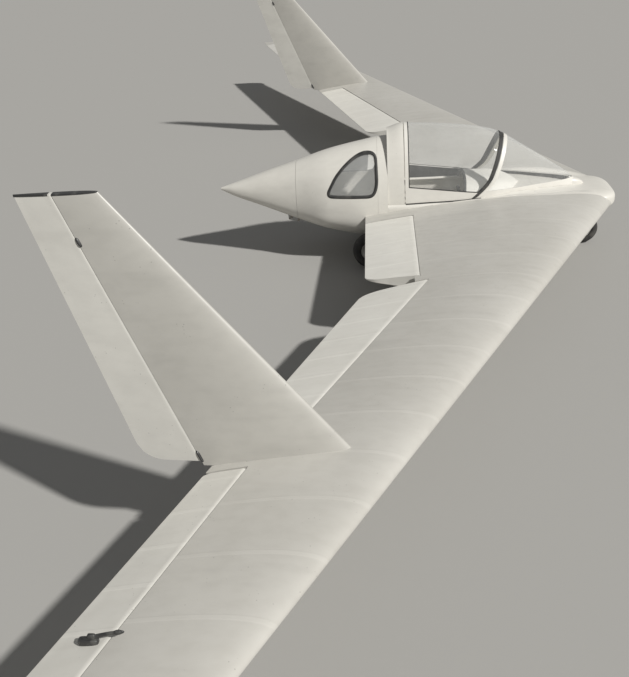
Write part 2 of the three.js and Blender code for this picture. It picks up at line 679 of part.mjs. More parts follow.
/** Arm and weight that stand up from the elevon, ahead of its hinge. */
function massBalance(side, wing) {
  const hinge = SURFACES[2].hinge;
  const slope = (hinge[1][1] - hinge[0][1]) / (hinge[1][0] - hinge[0][0]);
  const y = hinge[0][1] + slope * (BALANCE_SPAN - hinge[0][0]);
  const x = side * BALANCE_SPAN;
  const { z, half } = wingCore(BALANCE_SPAN, y);
  const root = new THREE.Vector3(x, y + 60, z + half - 10);
  const knee = new THREE.Vector3(x, y + 10, z + half + BALANCE_ARM.rise);
  const head = new THREE.Vector3(x, y - BALANCE_ARM.length, z + half + BALANCE_ARM.rise - 8);
  const arm = solidOf(bar(root, knee, BALANCE_ARM.width, BALANCE_ARM.width, 8))
    .add(solidOf(bar(knee, head, BALANCE_ARM.width, BALANCE_ARM.width, 8)))
    .add(solidOf(new THREE.SphereGeometry(BALANCE_ARM.width, 8, 6).translate(...knee.toArray())));
  const weight = new THREE.SphereGeometry(1, 10, 8);
  weight.scale(BALANCE_RADIUS, 2 * BALANCE_RADIUS, BALANCE_RADIUS);
  weight.translate(...head.toArray());
  return arm.add(solidOf(weight)).subtract(wing.translate(0, 0, SIT));
}

/** Point of the fin at a height, on one of its edges. */
function finPoint(side, edge, z) {
  const k = (z - FIN_FOOT) / (FIN_TOP - FIN_FOOT);
  const x = FIN_SPAN_FOOT + k * (FIN_SPAN_TOP - FIN_SPAN_FOOT);
  return new THREE.Vector3(side * x, edge.foot + k * (edge.top - edge.foot), z);
}

/** Spans between which one fin lies. */
function finZone(side) {
  return side > 0 ? [3700, 4600] : [-4600, -3700];
}

/** Adds one fin and its rudder. */
function addFin(side, word, wing) {
  const rings = [FIN_FOOT, FIN_TOP].map((z) => {
    const fore = finPoint(side, FIN_EDGES.fore, z);
    const aft = finPoint(side, FIN_EDGES.aft, z);
    const chord = aft.y - fore.y;
    return FIN_OUTLINE.map(([s, h, face]) => new THREE.Vector3(
      fore.x + h * chord * FIN_SHARE + face * TRAILING_EDGE_HALF * s,
      fore.y + s * chord,
      z,
    ));
  });
  const whole = solidOf(loft(rings));
  const halfAt = (z) => {
    const fore = finPoint(side, FIN_EDGES.fore, z).y;
    const chord = finPoint(side, FIN_EDGES.aft, z).y - fore;
    return chord * FIN_SHARE * foilHalf((finPoint(side, FIN_EDGES.hinge, z).y - fore) / chord);
  };
  const foot = finPoint(side, FIN_EDGES.hinge, FIN_FOOT);
  const top = finPoint(side, FIN_EDGES.hinge, FIN_TOP);
  const along = new THREE.Vector3().subVectors(top, foot).normalize();
  const low = foot.clone().addScaledVector(along, -60);
  const high = top.clone().addScaledVector(along, 60);
  const behind = solidOf(sideBlock(
    [[foot.y, FIN_FOOT - 20], [top.y, FIN_TOP + 20], [2900, FIN_TOP + 20], [2900, FIN_FOOT - 20]],
    ...finZone(side),
  ));
  const cove = solidOf(bar(low, high, halfAt(FIN_FOOT) + RUNNING_GAP, halfAt(FIN_TOP) + RUNNING_GAP));
  const corner = FIN_EDGES.aft.foot;
  const trim = solidOf(sideBlock(
    [[corner - RUDDER_CORNER, RUDDER_FOOT - 60], [corner - RUDDER_CORNER, RUDDER_FOOT],
      [corner - 30, RUDDER_FOOT + 22], [corner + 30, RUDDER_FOOT + RUDDER_CORNER], [corner + 90, RUDDER_FOOT - 60]],
    ...finZone(side),
  ));
  const headroom = solidOf(block([-5000, 1000, RUDDER_FOOT], [5000, 2600, FIN_TOP]));
  let rudder = whole
    .intersect(behind)
    .add(solidOf(bar(low, high, halfAt(FIN_FOOT) - 0.4, halfAt(FIN_TOP) - 0.4)))
    .intersect(headroom)
    .subtract(trim);
  let fin = whole.subtract(behind).subtract(cove);
  for (const z of FIN_LUGS) {
    const centre = finPoint(side, FIN_EDGES.hinge, z);
    const upright = new THREE.Quaternion().setFromUnitVectors(new THREE.Vector3(0, 0, 1), along);
    const boxAt = (height, width, fore, aft) => {
      const geometry = new THREE.BoxGeometry(width, aft - fore, height);
      geometry.translate(0, (aft + fore) / 2, 0);
      geometry.applyQuaternion(upright);
      return solidOf(geometry.translate(...centre.toArray()));
    };
    const pinOf = (radius, reach) => solidOf(bar(
      centre.clone().addScaledVector(along, -reach),
      centre.clone().addScaledVector(along, reach),
      radius,
      radius,
      10,
    ));
    fin = fin.add(boxAt(LUG.height, LUG.width, -90, 9)).add(pinOf(PIN_RADIUS - 1, LUG.pin));
    rudder = rudder
      .subtract(boxAt(LUG.height + 2 * LUG_CLEAR, 300, -120, 26))
      .subtract(pinOf(PIN_RADIUS - 1 + PIN_PLAY, LUG.pin + 8));
  }
  piece(craft, `fin_${word}`, mainBody(fin.subtract(wing.translate(0, 0, SIT))), 'skin');
  const pivot = new THREE.Group();
  pivot.name = `rudder_${word}_pivot`;
  pivot.position.copy(foot);
  pivot.userData.axis = along;
  craft.add(pivot);
  piece(pivot, `rudder_${word}`, mainBody(rudder).translate(-foot.x, -foot.y, -foot.z), 'cream');
}

// Undercarriage
/** Solid of revolution about the X axis from [radius, distance along X] pairs. */
function wheelTurned(profile) {
  const geometry = new THREE.LatheGeometry(profile.map(([r, x]) => new THREE.Vector2(r, x)), WHEEL_STEPS);
  geometry.rotateZ(-Math.PI / 2);
  return solidOf(outward(mergedOnly(geometry)));
}

/** Geometry with positions only, its shared corners merged. */
function mergedOnly(geometry) {
  geometry.deleteAttribute('normal');
  geometry.deleteAttribute('uv');
  return mergeVertices(geometry, 1e-4);
}

/** Adds one wheel, a tyre on a rim, on its own pivot. */
function addWheel(name, wheel, side) {
  const hub = wheel.radius * HUB_SHARE;
  const half = wheel.width / 2;
  const pivot = new THREE.Group();
  pivot.name = `${name}_pivot`;
  pivot.position.set(side * wheel.track, wheel.y, wheel.radius - GROUND_BELOW_CHORD);
  craft.add(pivot);
  const crown = wheel.radius;
  const tyre = [[hub + SIT, -half * 0.62], [(hub + crown) / 2, -half], [crown - 16, -half * 0.8],
    [crown, -half * 0.25], [crown, half * 0.25], [crown - 16, half * 0.8], [(hub + crown) / 2, half],
    [hub + SIT, half * 0.62], [hub + SIT, -half * 0.62]];
  const bore = AXLE_RADIUS + AXLE_PLAY;
  const rim = [[bore, -half * 0.55], [38, -half * 0.55], [44, -half * 0.3], [hub - 10, -half * 0.3],
    [hub, -half * 0.62], [hub, half * 0.62], [hub - 10, half * 0.3], [44, half * 0.3],
    [38, half * 0.55], [bore, half * 0.55], [bore, -half * 0.55]];
  piece(pivot, `${name}_tyre`, wheelTurned(tyre), 'tyre');
  piece(pivot, `${name}_rim`, wheelTurned(rim), 'rim');
}

addWheel('nose_wheel', NOSE_WHEEL, PORT);
addWheel('main_wheel_starboard', MAIN_WHEEL, STARBOARD);
addWheel('main_wheel_port', MAIN_WHEEL, PORT);

const clearOfBody = (solid) => clearOfWings(solid.subtract(podGrown), -SIT);
const noseAxleZ = NOSE_WHEEL.radius - GROUND_BELOW_CHORD;
const mainAxleZ = MAIN_WHEEL.radius - GROUND_BELOW_CHORD;
const FORK_GAP = NOSE_WHEEL.width / 2 + 12;
const FORK_PLATE = 12;
const FORK_FOOT = { half: 26, low: 20 };
const FORK_TOP = { fore: 10, aft: 150 };
const FORK_END = FORK_GAP + FORK_PLATE + 10;

/** Axle along X between two equal ends. */
function axle(end, y, z) {
  return solidOf(bar(at([-end, y, z]), at([end, y, z]), AXLE_RADIUS, AXLE_RADIUS, WHEEL_STEPS));
}

const forkLegs = SIDES.map(({ side }) => {
  const outline = [[NOSE_WHEEL.y - FORK_FOOT.half, noseAxleZ - FORK_FOOT.low],
    [NOSE_WHEEL.y + FORK_FOOT.half, noseAxleZ - FORK_FOOT.low],
    [NOSE_WHEEL.y + FORK_TOP.aft, 0], [NOSE_WHEEL.y + FORK_TOP.fore, 0]];
  const from = side > 0 ? FORK_GAP : -FORK_GAP - FORK_PLATE;
  return solidOf(sideBlock(outline, from, from + FORK_PLATE));
});
const noseFork = forkLegs[0].add(forkLegs[1]).add(axle(FORK_END, NOSE_WHEEL.y, noseAxleZ));
piece(craft, 'nose_fork', mainBody(clearOfBody(noseFork)), 'steel');

const AXLE_END = MAIN_WHEEL.track + MAIN_WHEEL.width / 2 + 6;
const SADDLE = { from: 70, to: 170, half: 55, low: 20 };
const saddles = SIDES.map(({ side }) => solidOf(block(
  [side > 0 ? SADDLE.from : -SADDLE.to, MAIN_WHEEL.y - SADDLE.half, mainAxleZ - SADDLE.low],
  [side > 0 ? SADDLE.to : -SADDLE.from, MAIN_WHEEL.y + SADDLE.half, 0],
)));
const mainAxle = axle(AXLE_END, MAIN_WHEEL.y, mainAxleZ).add(saddles[0]).add(saddles[1]);
piece(craft, 'main_axle', mainBody(clearOfBody(mainAxle)), 'steel');

// Tail skid under the pod and towing hook ahead of the main wheels, as [station, height] pairs
const SKID_PROFILE = [[1330, 0], [1330, -120], [1370, -150], [1470, -120], [1480, 0]];
const SKID_HALF = 14;
const HOOK_PROFILE = [[300, -200], [300, -330], [330, -345], [372, -338], [372, -318], [344, -318], [344, -200]];
const HOOK_HALF = 12;
const skid = solidOf(sideBlock(SKID_PROFILE, -SKID_HALF, SKID_HALF));
piece(craft, 'tail_skid', mainBody(clearOfBody(skid)), 'steel');
const hook = solidOf(sideBlock(HOOK_PROFILE, -HOOK_HALF, HOOK_HALF));
piece(craft, 'tow_hook', mainBody(clearOfBody(hook)), 'steel');

export default craft;
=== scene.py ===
"""Looks of a tailless sailplane that stands on its wheels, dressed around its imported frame.

Lengths are metres. Forms are worked out in the aircraft frame, where y = 0 lies on the chord line of
the wing and z = 0 on its chord plane, and Workshop.add moves them into the row frame.
"""
from __future__ import annotations

import logging
import math
from dataclasses import dataclass, field
from enum import Enum
from typing import Any, Callable, Iterable, Sequence

import bmesh
import bpy
import numpy as np
from mathutils import Matrix


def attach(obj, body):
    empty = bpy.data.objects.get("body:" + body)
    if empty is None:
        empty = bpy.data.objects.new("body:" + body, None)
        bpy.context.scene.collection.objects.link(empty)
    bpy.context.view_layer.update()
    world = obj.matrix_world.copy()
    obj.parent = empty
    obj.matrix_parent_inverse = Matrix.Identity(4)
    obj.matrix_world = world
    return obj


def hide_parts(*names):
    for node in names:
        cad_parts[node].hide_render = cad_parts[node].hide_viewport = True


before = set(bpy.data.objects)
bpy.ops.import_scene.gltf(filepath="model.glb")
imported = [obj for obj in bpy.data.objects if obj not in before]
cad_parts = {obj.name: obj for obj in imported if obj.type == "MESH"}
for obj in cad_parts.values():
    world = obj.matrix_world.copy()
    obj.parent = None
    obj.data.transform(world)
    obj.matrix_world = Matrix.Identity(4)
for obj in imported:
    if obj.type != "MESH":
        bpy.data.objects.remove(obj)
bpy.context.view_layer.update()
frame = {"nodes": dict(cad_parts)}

log = logging.getLogger("sailplane")
Array = np.ndarray

SHIFT = np.array([0.0, -0.5305, 0.46])
PORT = 1
STARBOARD = -1
SIDES: tuple[tuple[int, str], ...] = ((STARBOARD, "starboard"), (PORT, "port"))
MIRROR = np.array([-1.0, 1.0, 1.0])


class Axis(Enum):
    """Row axis that a repeated band follows."""

    SPAN = 0
    LENGTH = 1
    HEIGHT = 2


# Shader maths


@dataclass
class Expr:
    """Wraps one shader socket or number, so that shader maths reads as Python maths."""

    mat: "Finish"
    value: Any

    def _math(self, operation: str, *others: Any) -> "Expr":
        """Adds a Math node.

        Args:
            operation: the node's operation.
            others: further inputs, sockets or numbers.

        Returns:
            The node's output as an expression.
        """
        inputs = {i: v for i, v in enumerate((self, *others))}
        return self.mat.node("ShaderNodeMath", {"operation": operation}, inputs)

    def __add__(self, other: Any) -> "Expr":
        """Sum."""
        return self._math("ADD", other)

    __radd__ = __add__

    def __sub__(self, other: Any) -> "Expr":
        """Difference."""
        return self._math("SUBTRACT", other)

    def __rsub__(self, other: Any) -> "Expr":
        """Difference, reflected."""
        return Expr(self.mat, other)._math("SUBTRACT", self)

    def __mul__(self, other: Any) -> "Expr":
        """Product."""
        return self._math("MULTIPLY", other)

    __rmul__ = __mul__

    def __truediv__(self, other: Any) -> "Expr":
        """Quotient."""
        return self._math("DIVIDE", other)

    def power(self, other: Any) -> "Expr":
        """Power."""
        return self._math("POWER", other)

    def sine(self) -> "Expr":
        """Sine."""
        return self._math("SINE")

    def absolute(self) -> "Expr":
        """Absolute value."""
        return self._math("ABSOLUTE")

    def fraction(self) -> "Expr":
        """Fractional part."""
        return self._math("FRACT")

    def band(self, low: float, high: float) -> "Expr":
        """Smooth step.

        Args:
            low: value where the step starts at 0.
            high: value where it reaches 1.

        Returns:
            The stepped value, 0 to 1.
        """
        return self.mat.node(
            "ShaderNodeMapRange",
            {"interpolation_type": "SMOOTHSTEP", "clamp": True},
            {"Value": self, "From Min": low, "From Max": high, "To Min": 0.0, "To Max": 1.0},
        )


Colour = tuple[float, float, float]


@dataclass
class Finish:
    """A procedural material and the maker of its nodes."""

    name: str
    slot: str
    material: bpy.types.Material = field(init=False)

    def __post_init__(self) -> None:
        """Starts the material with an empty node tree and its surface shader."""
        self.material = bpy.data.materials.new(self.name)
        self.material.use_nodes = True
        self.tree = self.material.node_tree
        self.tree.nodes.clear()
        self.output = self.tree.nodes.new("ShaderNodeOutputMaterial")
        self.coat = self.tree.nodes.new("ShaderNodeBsdfPrincipled")
        self.tree.links.new(self.coat.outputs[0], self.output.inputs[0])

    def node(self, kind: str, settings: dict[str, Any], inputs: dict[Any, Any], out: Any = 0) -> Expr:
        """Adds any shader node.

        Args:
            kind: node type.
            settings: node properties, set first.
            inputs: values or links by socket name or number.
            out: output socket, by name or number.

        Returns:
            The output as an expression.
        """
        made = self.tree.nodes.new(kind)
        for key, value in settings.items():
            setattr(made, key, value)
        for key, value in inputs.items():
            self._feed(made.inputs[key], value)
        return Expr(self, made.outputs[out])

    def _feed(self, socket: bpy.types.NodeSocket, value: Any) -> None:
        """Links a socket to an expression, or sets a number or a colour on it.

        Args:
            socket: the input.
            value: expression, number or colour.
        """
        plain = value.value if isinstance(value, Expr) else value
        if isinstance(plain, bpy.types.NodeSocket):
            self.tree.links.new(plain, socket)
        elif isinstance(plain, tuple) and len(plain) == 3 and socket.type == "RGBA":
            socket.default_value = (*plain, 1.0)
        else:
            socket.default_value = plain

    def place(self) -> Expr:
        """Object coordinates, metres in the row frame."""
        return self.node("ShaderNodeTexCoord", {}, {}, "Object")

    def stretched(self, stretch: Colour) -> Expr:
        """Object coordinates scaled along each row axis."""
        return self.node("ShaderNodeMapping", {}, {"Vector": self.place(), "Scale": stretch})

    def along(self, axis: Axis) -> Expr:
        """One row axis as a number, in metres."""
        return self.node("ShaderNodeSeparateXYZ", {}, {0: self.place()}, axis.value)

    def noise(self, scale: float, detail: float = 4.0, stretch: Colour = (1.0, 1.0, 1.0)) -> Expr:
        """Cloudy noise.

        Args:
            scale: features per metre.
            detail: octaves.
            stretch: scale along each row axis.

        Returns:
            The noise, about 0.2 to 0.8.
        """
        inputs = {"Vector": self.stretched(stretch), "Scale": scale, "Detail": detail}
        return self.node("ShaderNodeTexNoise", {}, inputs)

    def cells(self, scale: float) -> Expr:
        """Distance to the nearest random point, in cells, with scale points to a metre."""
        inputs = {"Vector": self.stretched((1.0, 1.0, 1.0)), "Scale": scale}
        return self.node("ShaderNodeTexVoronoi", {"feature": "F1"}, inputs)

    def mix(self, mask: Any, low: Any, high: Any) -> Expr:
        """Blends two colours by a mask."""
        return self.node("ShaderNodeMix", {"data_type": "RGBA"}, {"Factor": mask, 6: low, 7: high}, 2)

    def lines(self, axis: Axis, pitch: float, width: float, start: float = 0.0) -> Expr:
        """Narrow bands at an even pitch along one axis.

        Args:
            axis: axis across the bands.
            pitch: distance from band to band.
            width: width of a band.
            start: place of one band.

        Returns:
            1 on a band and 0 between bands, with soft sides.
        """
        phase = ((self.along(axis) - start) / pitch + 0.5).fraction() - 0.5
        return 1 - phase.absolute().band(0.25 * width / pitch, 0.5 * width / pitch)

    def relief(self, height: Expr, distance: float) -> None:
        """Feeds a height into the surface normal."""
        inputs = {"Height": height, "Distance": distance}
        self.set(Normal=self.node("ShaderNodeBump", {}, inputs))

    def set(self, **sockets: Any) -> "Finish":
        """Sets shader sockets by name, with underscores for spaces."""
        for key, value in sockets.items():
            self._feed(self.coat.inputs[key.replace("_", " ")], value)
        return self


@dataclass(frozen=True)
class PaintLook:
    """Aged aircraft paint: its colours, ribs and wear."""

    name: str
    slot: str
    colour: Colour
    worn: Colour
    rib_pitch: float = 0.0
    rib_start: float = 0.0
    roughness: float = 0.42
    dirt: float = 0.5

    def make(self) -> Finish:
        """Builds the paint.

        Broad clouds shift the colour, fine clouds fade it, small specks dull it, and where the surface
        has ribs a faint tape shows over each of them.

        Returns:
            The finish.
        """
        paint = Finish(self.name, self.slot)
        broad = paint.noise(1.3, 5.0, (0.6, 1.0, 1.0)).band(0.3, 0.72)
        fine = paint.noise(19.0, 6.0, (1.0, 0.55, 1.0)).band(0.35, 0.75)
        streak = paint.noise(9.0, 4.0, (1.0, 0.12, 1.0)).band(0.5, 0.82)
        speck = 1 - paint.cells(46.0).band(0.05, 0.16)
        rare = paint.noise(7.0, 2.0).band(0.56, 0.62)
        tone = paint.mix(broad * 0.55 + fine * 0.3, self.colour, self.worn)
        dusty = tuple(0.62 * c for c in self.worn)
        tone = paint.mix(streak * (0.4 * self.dirt), tone, dusty)
        tone = paint.mix(speck * rare * self.dirt, tone, tuple(0.3 * c for c in self.worn))
        height = fine * 0.12 + broad * 0.16
        if self.rib_pitch:
            tape = paint.lines(Axis.SPAN, self.rib_pitch, 0.032, self.rib_start)
            tone = paint.mix(tape * 0.16, tone, tuple(min(1.0, 1.18 * c) for c in self.colour))
            height = height + tape * 0.55
        paint.relief(height, 0.0012)
        paint.set(
            Base_Color=tone,
            Roughness=fine * 0.11 + streak * 0.07 + (self.roughness - 0.055),
            Coat_Weight=0.12,
            Coat_Roughness=0.3,
        )
        return paint


@dataclass(frozen=True)
class MetalLook:
    """Bare or painted metal with grain and scuffs."""

    name: str
    slot: str
    colour: Colour
    scuff: Colour
    metallic: float = 0.9
    roughness: float = 0.4

    def make(self) -> Finish:
        """Builds the metal: stretched noise is the grain, sparse clouds are scuffs."""
        metal = Finish(self.name, self.slot)
        grain = metal.noise(140.0, 3.0, (1.0, 0.15, 1.0))
        cloud = metal.noise(24.0, 5.0).band(0.5, 0.68)
        metal.relief(grain * 0.3 + cloud * 0.2, 0.0006)
        metal.set(
            Base_Color=metal.mix(cloud, self.colour, self.scuff),
            Roughness=grain * 0.2 + cloud * 0.15 + (self.roughness - 0.15),
            Metallic=self.metallic,
        )
        return metal


@dataclass(frozen=True)
class RubberLook:
    """Rubber with dust in its grain."""

    name: str
    slot: str
    colour: Colour
    dust: Colour
    dusting: float = 0.5

    def make(self) -> Finish:
        """Builds the rubber: fine cells are its grain, clouds gather dust."""
        rubber = Finish(self.name, self.slot)
        grain = rubber.cells(420.0).band(0.1, 0.7)
        cloud = rubber.noise(15.0, 6.0).band(0.42, 0.72)
        rubber.relief(grain, 0.0004)
        rubber.set(
            Base_Color=rubber.mix(cloud * self.dusting, self.colour, self.dust),
            Roughness=cloud * 0.2 + 0.62,
        )
        return rubber


@dataclass(frozen=True)
class ClothLook:
    """Woven cloth with a sewn, worn surface."""

    name: str
    slot: str
    colour: Colour
    thread: Colour
    pitch: float = 0.004

    def make(self) -> Finish:
        """Builds the cloth: two sets of sine threads cross, and clouds fade them."""
        cloth = Finish(self.name, self.slot)
        turn = 2 * math.pi / self.pitch
        warp = (cloth.along(Axis.SPAN) * turn).sine()
        weft = ((cloth.along(Axis.LENGTH) + cloth.along(Axis.HEIGHT)) * turn).sine()
        weave = (warp * weft) * 0.5 + 0.5
        cloud = cloth.noise(12.0, 5.0).band(0.35, 0.7)
        cloth.relief(weave * 0.8 + cloud * 0.3, 0.0012)
        cloth.set(
            Base_Color=cloth.mix(weave * 0.45 + cloud * 0.35, self.colour, self.thread),
            Roughness=0.88,
            Sheen_Weight=0.25,
        )
        return cloth


@dataclass(frozen=True)
class AcrylicLook:
    """Clear blown acrylic with a faint haze, wiping marks and a painted reflection at glancing angles."""

    name: str
    slot: str
    tint: Colour
    clear: float = 0.07

    def make(self) -> Finish:
        """Builds the acrylic: clouds of dust raise its alpha over the clear sheet, and a glancing view raises
        it further, partly for the haze and partly as a painted reflection.

        Alpha = clear + 0.035 dust + 0.015 wipe + 0.38 facing ** 3.
        """
        glass = Finish(self.name, self.slot)
        # Painted reflection: a glancing view makes the pale glass more opaque, standing for the sheet's
        # reflection as well as its haze.
        rim = glass.node("ShaderNodeLayerWeight", {}, {"Blend": 0.4}, "Facing")
        dust = glass.noise(6.0, 6.0).band(0.38, 0.8)
        wipe = glass.noise(30.0, 3.0, (0.2, 1.0, 1.0)).band(0.5, 0.75)
        glass.set(
            Base_Color=self.tint,
            Roughness=dust * 0.06 + 0.03,
            Alpha=rim.power(3.0) * 0.38 + dust * 0.035 + wipe * 0.015 + self.clear,
            IOR=1.49,
            Specular_IOR_Level=0.9,
        )
        glass.material.surface_render_method = "DITHERED"
        return glass


# Mesh making


@dataclass
class Mesh:
    """Corners and faces as arrays.

    A face is a row of four corner numbers, and a triangle has one of them twice running.
    """

    points: Array
    faces: Array

    def moved(self, offset: Sequence[float]) -> "Mesh":
        """The same mesh, moved by an offset."""
        return Mesh(self.points + np.asarray(offset, float), self.faces)

    def mirrored(self) -> "Mesh":
        """The same mesh on the other side of the centre plane, its faces turned round."""
        return Mesh(self.points * MIRROR, self.faces[:, ::-1])

    def on(self, side: int) -> "Mesh":
        """A mesh made for port as it stands on a side."""
        return self if side == PORT else self.mirrored()


def joined(parts: Iterable[Mesh]) -> Mesh:
    """Puts meshes together, with their corner numbers counted on.

    Args:
        parts: the meshes.

    Returns:
        One mesh.
    """
    points, faces, start = [], [], 0
    for part in parts:
        points.append(part.points)
        faces.append(part.faces + start)
        start += len(part.points)
    return Mesh(np.concatenate(points), np.concatenate(faces))


def grid(x: Any, y: Any, z: Any) -> Array:
    """Points (x, y, z) of values that are stretched to one grid."""
    return np.stack(np.broadcast_arrays(x, y, z), -1)


def unit(vectors: Array) -> Array:
    """Vectors scaled to length 1, along the last axis."""
    return vectors / np.linalg.norm(vectors, axis=-1, keepdims=True)


def lengths_along(points: Array) -> Array:
    """Distance of each point from the first, along the line through them."""
    return np.concatenate([[0], np.cumsum(np.linalg.norm(np.diff(points, axis=0), axis=1))])


def smooth_step(t: Array) -> Array:
    """Smooth step t * t (3 - 2 t) of t held between 0 and 1."""
    t = np.clip(t, 0, 1)
    return t * t * (3 - 2 * t)


def cosine_spread(count: int) -> Array:
    """Shares from 0 to 1 that crowd at both ends: 0.5 - 0.5 cos t, with t from 0 to pi."""
    return 0.5 - 0.5 * np.cos(np.linspace(0, np.pi, count))


def ring_faces(rows: int, columns: int) -> Array:
    """Quads of a grid of closed rings whose corners are numbered ring by ring.

    Args:
        rows: number of rings.
        columns: corners in a ring.

    Returns:
        One row of four corner numbers for each quad.
    """
    r, c = np.meshgrid(np.arange(rows - 1), np.arange(columns), indexing="ij")
    n = (c + 1) % columns
    quads = [r * columns + c, r * columns + n, (r + 1) * columns + n, (r + 1) * columns + c]
    return np.stack(quads, axis=-1).reshape(-1, 4)


def turned_out(mesh: Mesh) -> Mesh:
    """Turns the faces of a closed mesh out: its volume is the sum of dot(a, b x c) / 6 over its faces.

    Args:
        mesh: the mesh.

    Returns:
        The mesh with a volume above 0.
    """
    a, b, c, d = (mesh.points[mesh.faces[:, i]] for i in range(4))
    volume = (np.cross(b, c) * a).sum() + (np.cross(c, d) * a).sum()
    return Mesh(mesh.points, mesh.faces[:, ::-1]) if volume < 0 else mesh


def tube(rings: Array, closed_ends: bool = True) -> Mesh:
    """Closed skin over rings of equal length.

    Each end is closed by a ladder of quads from corner v of its ring to corner V - 1 - v, so a ring
    runs out along one face and back along the other. An odd ring ends its ladder in a triangle.

    Args:
        rings: array of ring, corner and axis.
        closed_ends: False leaves the ends open.

    Returns:
        The mesh.
    """
    rows, columns = rings.shape[:2]
    faces = [ring_faces(rows, columns)]
    if closed_ends:
        v = np.arange((columns - 1) // 2)
        for start in (0, (rows - 1) * columns):
            ladder = np.stack([v, v + 1, columns - 2 - v, columns - 1 - v], axis=-1) + start
            faces.append(ladder if start else ladder[:, ::-1])
    return turned_out(Mesh(rings.reshape(-1, 3), np.concatenate(faces)))


def two_faced(upper: Array, lower: Array) -> Mesh:
    """Closed skin of two faces over the same grid, joined along their edges."""
    return tube(np.concatenate([upper, lower[:, ::-1]], axis=1))


def nose_angles(count: int) -> Array:
    """Angles between the two faces of a rounded nose, from above to below, without the faces' own."""
    return np.linspace(np.pi / 2, -np.pi / 2, count)[1:-1]


def looped(rings: Array) -> Mesh:
    """Closed skin over rings of which the last meets the first."""
    rows, columns = rings.shape[:2]
    return turned_out(Mesh(rings.reshape(-1, 3), ring_faces(rows + 1, columns) % (rows * columns)))


def capped(rings: Array) -> Mesh:
    """Closed skin over rings, each end drawn to a point at the middle of its ring."""
    first, last = (np.broadcast_to(rings[i].mean(0), rings[i].shape)[None] for i in (0, -1))
    return tube(np.concatenate([first, rings, last]), closed_ends=False)


def lathe(profile: Sequence[tuple[float, float]], steps: int, centre: Sequence[float]) -> Mesh:
    """Closed ring turned about an axis along X.

    A profile corner (r, x) goes to (x, r cos t, r sin t) for t from 0 to 2 pi.

    Args:
        profile: closed outline as (radius, distance along X) pairs.
        steps: corners round the axis.
        centre: middle of the axis.

    Returns:
        The mesh.
    """
    r, x = np.asarray(profile, float).T
    t = np.linspace(0, 2 * np.pi, steps, endpoint=False)[:, None]
    return looped(grid(x, r * np.cos(t), r * np.sin(t)) + np.asarray(centre, float))


def turned_to_y(mesh: Mesh) -> Mesh:
    """Turns a mesh made about X so that it stands about Y: (x, y, z) goes to (y, x, -z)."""
    return turned_out(Mesh(mesh.points[:, [1, 0, 2]] * np.array([1.0, 1.0, -1.0]), mesh.faces))


def swept(path: Array, outline: Array, up: Sequence[float], size: Array | float = 1.0) -> Mesh:
    """Closed bar with an outline carried along a path.

    A corner of the outline (a, b) goes to path + size (a side + b rise), where side = direction x up
    and rise = side x direction.

    Args:
        path: points of the path.
        outline: closed outline as rows of (a, b).
        up: direction that the outline's second axis leans to.
        size: scale of the outline, one or one for each point.

    Returns:
        The mesh.
    """
    direction = unit(np.gradient(path, axis=0))
    side = unit(np.cross(direction, np.asarray(up, float)))
    rise = np.cross(side, direction)
    across = outline[None, :, :1] * side[:, None] + outline[None, :, 1:] * rise[:, None]
    return tube(path[:, None] + np.reshape(size, (-1, 1, 1)) * across)


def round_outline(radius: float, steps: int) -> Array:
    """Circle of corners as (radius cos t, radius sin t)."""
    t = np.linspace(0, 2 * np.pi, steps, endpoint=False)
    return radius * np.stack([np.cos(t), np.sin(t)], axis=-1)


def soft_block(low: Sequence[float], high: Sequence[float], power: float, steps: int) -> Mesh:
    """Block with rounded edges, a superellipsoid.

    Each corner is centre + half * sign(c) |c| ** (2 / power) for the three direction cosines c.

    Args:
        low: lowest corner.
        high: highest corner.
        power: larger is squarer.
        steps: corners round and up.

    Returns:
        The mesh.
    """
    low, high = np.asarray(low, float), np.asarray(high, float)
    t = np.linspace(0, 2 * np.pi, 2 * steps, endpoint=False) + np.pi / (2 * steps)
    p = np.linspace(-np.pi / 2, np.pi / 2, steps)[:, None]
    cosines = grid(np.cos(p) * np.cos(t), np.cos(p) * np.sin(t), np.sin(p))
    shape = np.sign(cosines) * np.abs(cosines) ** (2 / power)
    return tube((low + high) / 2 + shape * (high - low) / 2, closed_ends=False)


def smooth_column(stations: Array, values: Array, where: Array) -> Array:
    """Smooth curve through table values.

    Between two stations it is the cubic Hermite curve h00 a + h10 d ma + h01 b + h11 d mb, with the
    slope at a station the harmonic mean of the slopes beside it, so it never overshoots.

    Args:
        stations: rising stations.
        values: one value for each.
        where: stations to work out.

    Returns:
        The values there.
    """
    d = np.diff(stations)
    slope = np.diff(values) / d
    same = slope[:-1] * slope[1:] > 0
    middle = np.where(same, 2 * slope[:-1] * slope[1:] / np.where(same, slope[:-1] + slope[1:], 1), 0)
    m = np.concatenate([slope[:1], middle, slope[-1:]])
    i = np.clip(np.searchsorted(stations, where) - 1, 0, len(d) - 1)
    t = np.clip((where - stations[i]) / d[i], 0, 1)
    return (
        (1 + 2 * t) * (1 - t) ** 2 * values[i]
        + t * (1 - t) ** 2 * d[i] * m[i]
        + t**2 * (3 - 2 * t) * values[i + 1]
        + t**2 * (t - 1) * d[i] * m[i + 1]
    )


def smooth_path(points: Array, count: int) -> Array:
    """Smooth path through points, each axis a smooth column over the chord length.

    Args:
        points: points to pass through.
        count: points of the path.

    Returns:
        The path, its points spread evenly over the chord length.
    """
    length = lengths_along(points)
    where = np.linspace(0, length[-1], count)
    return np.stack([smooth_column(length, points[:, i], where) for i in range(3)], -1)


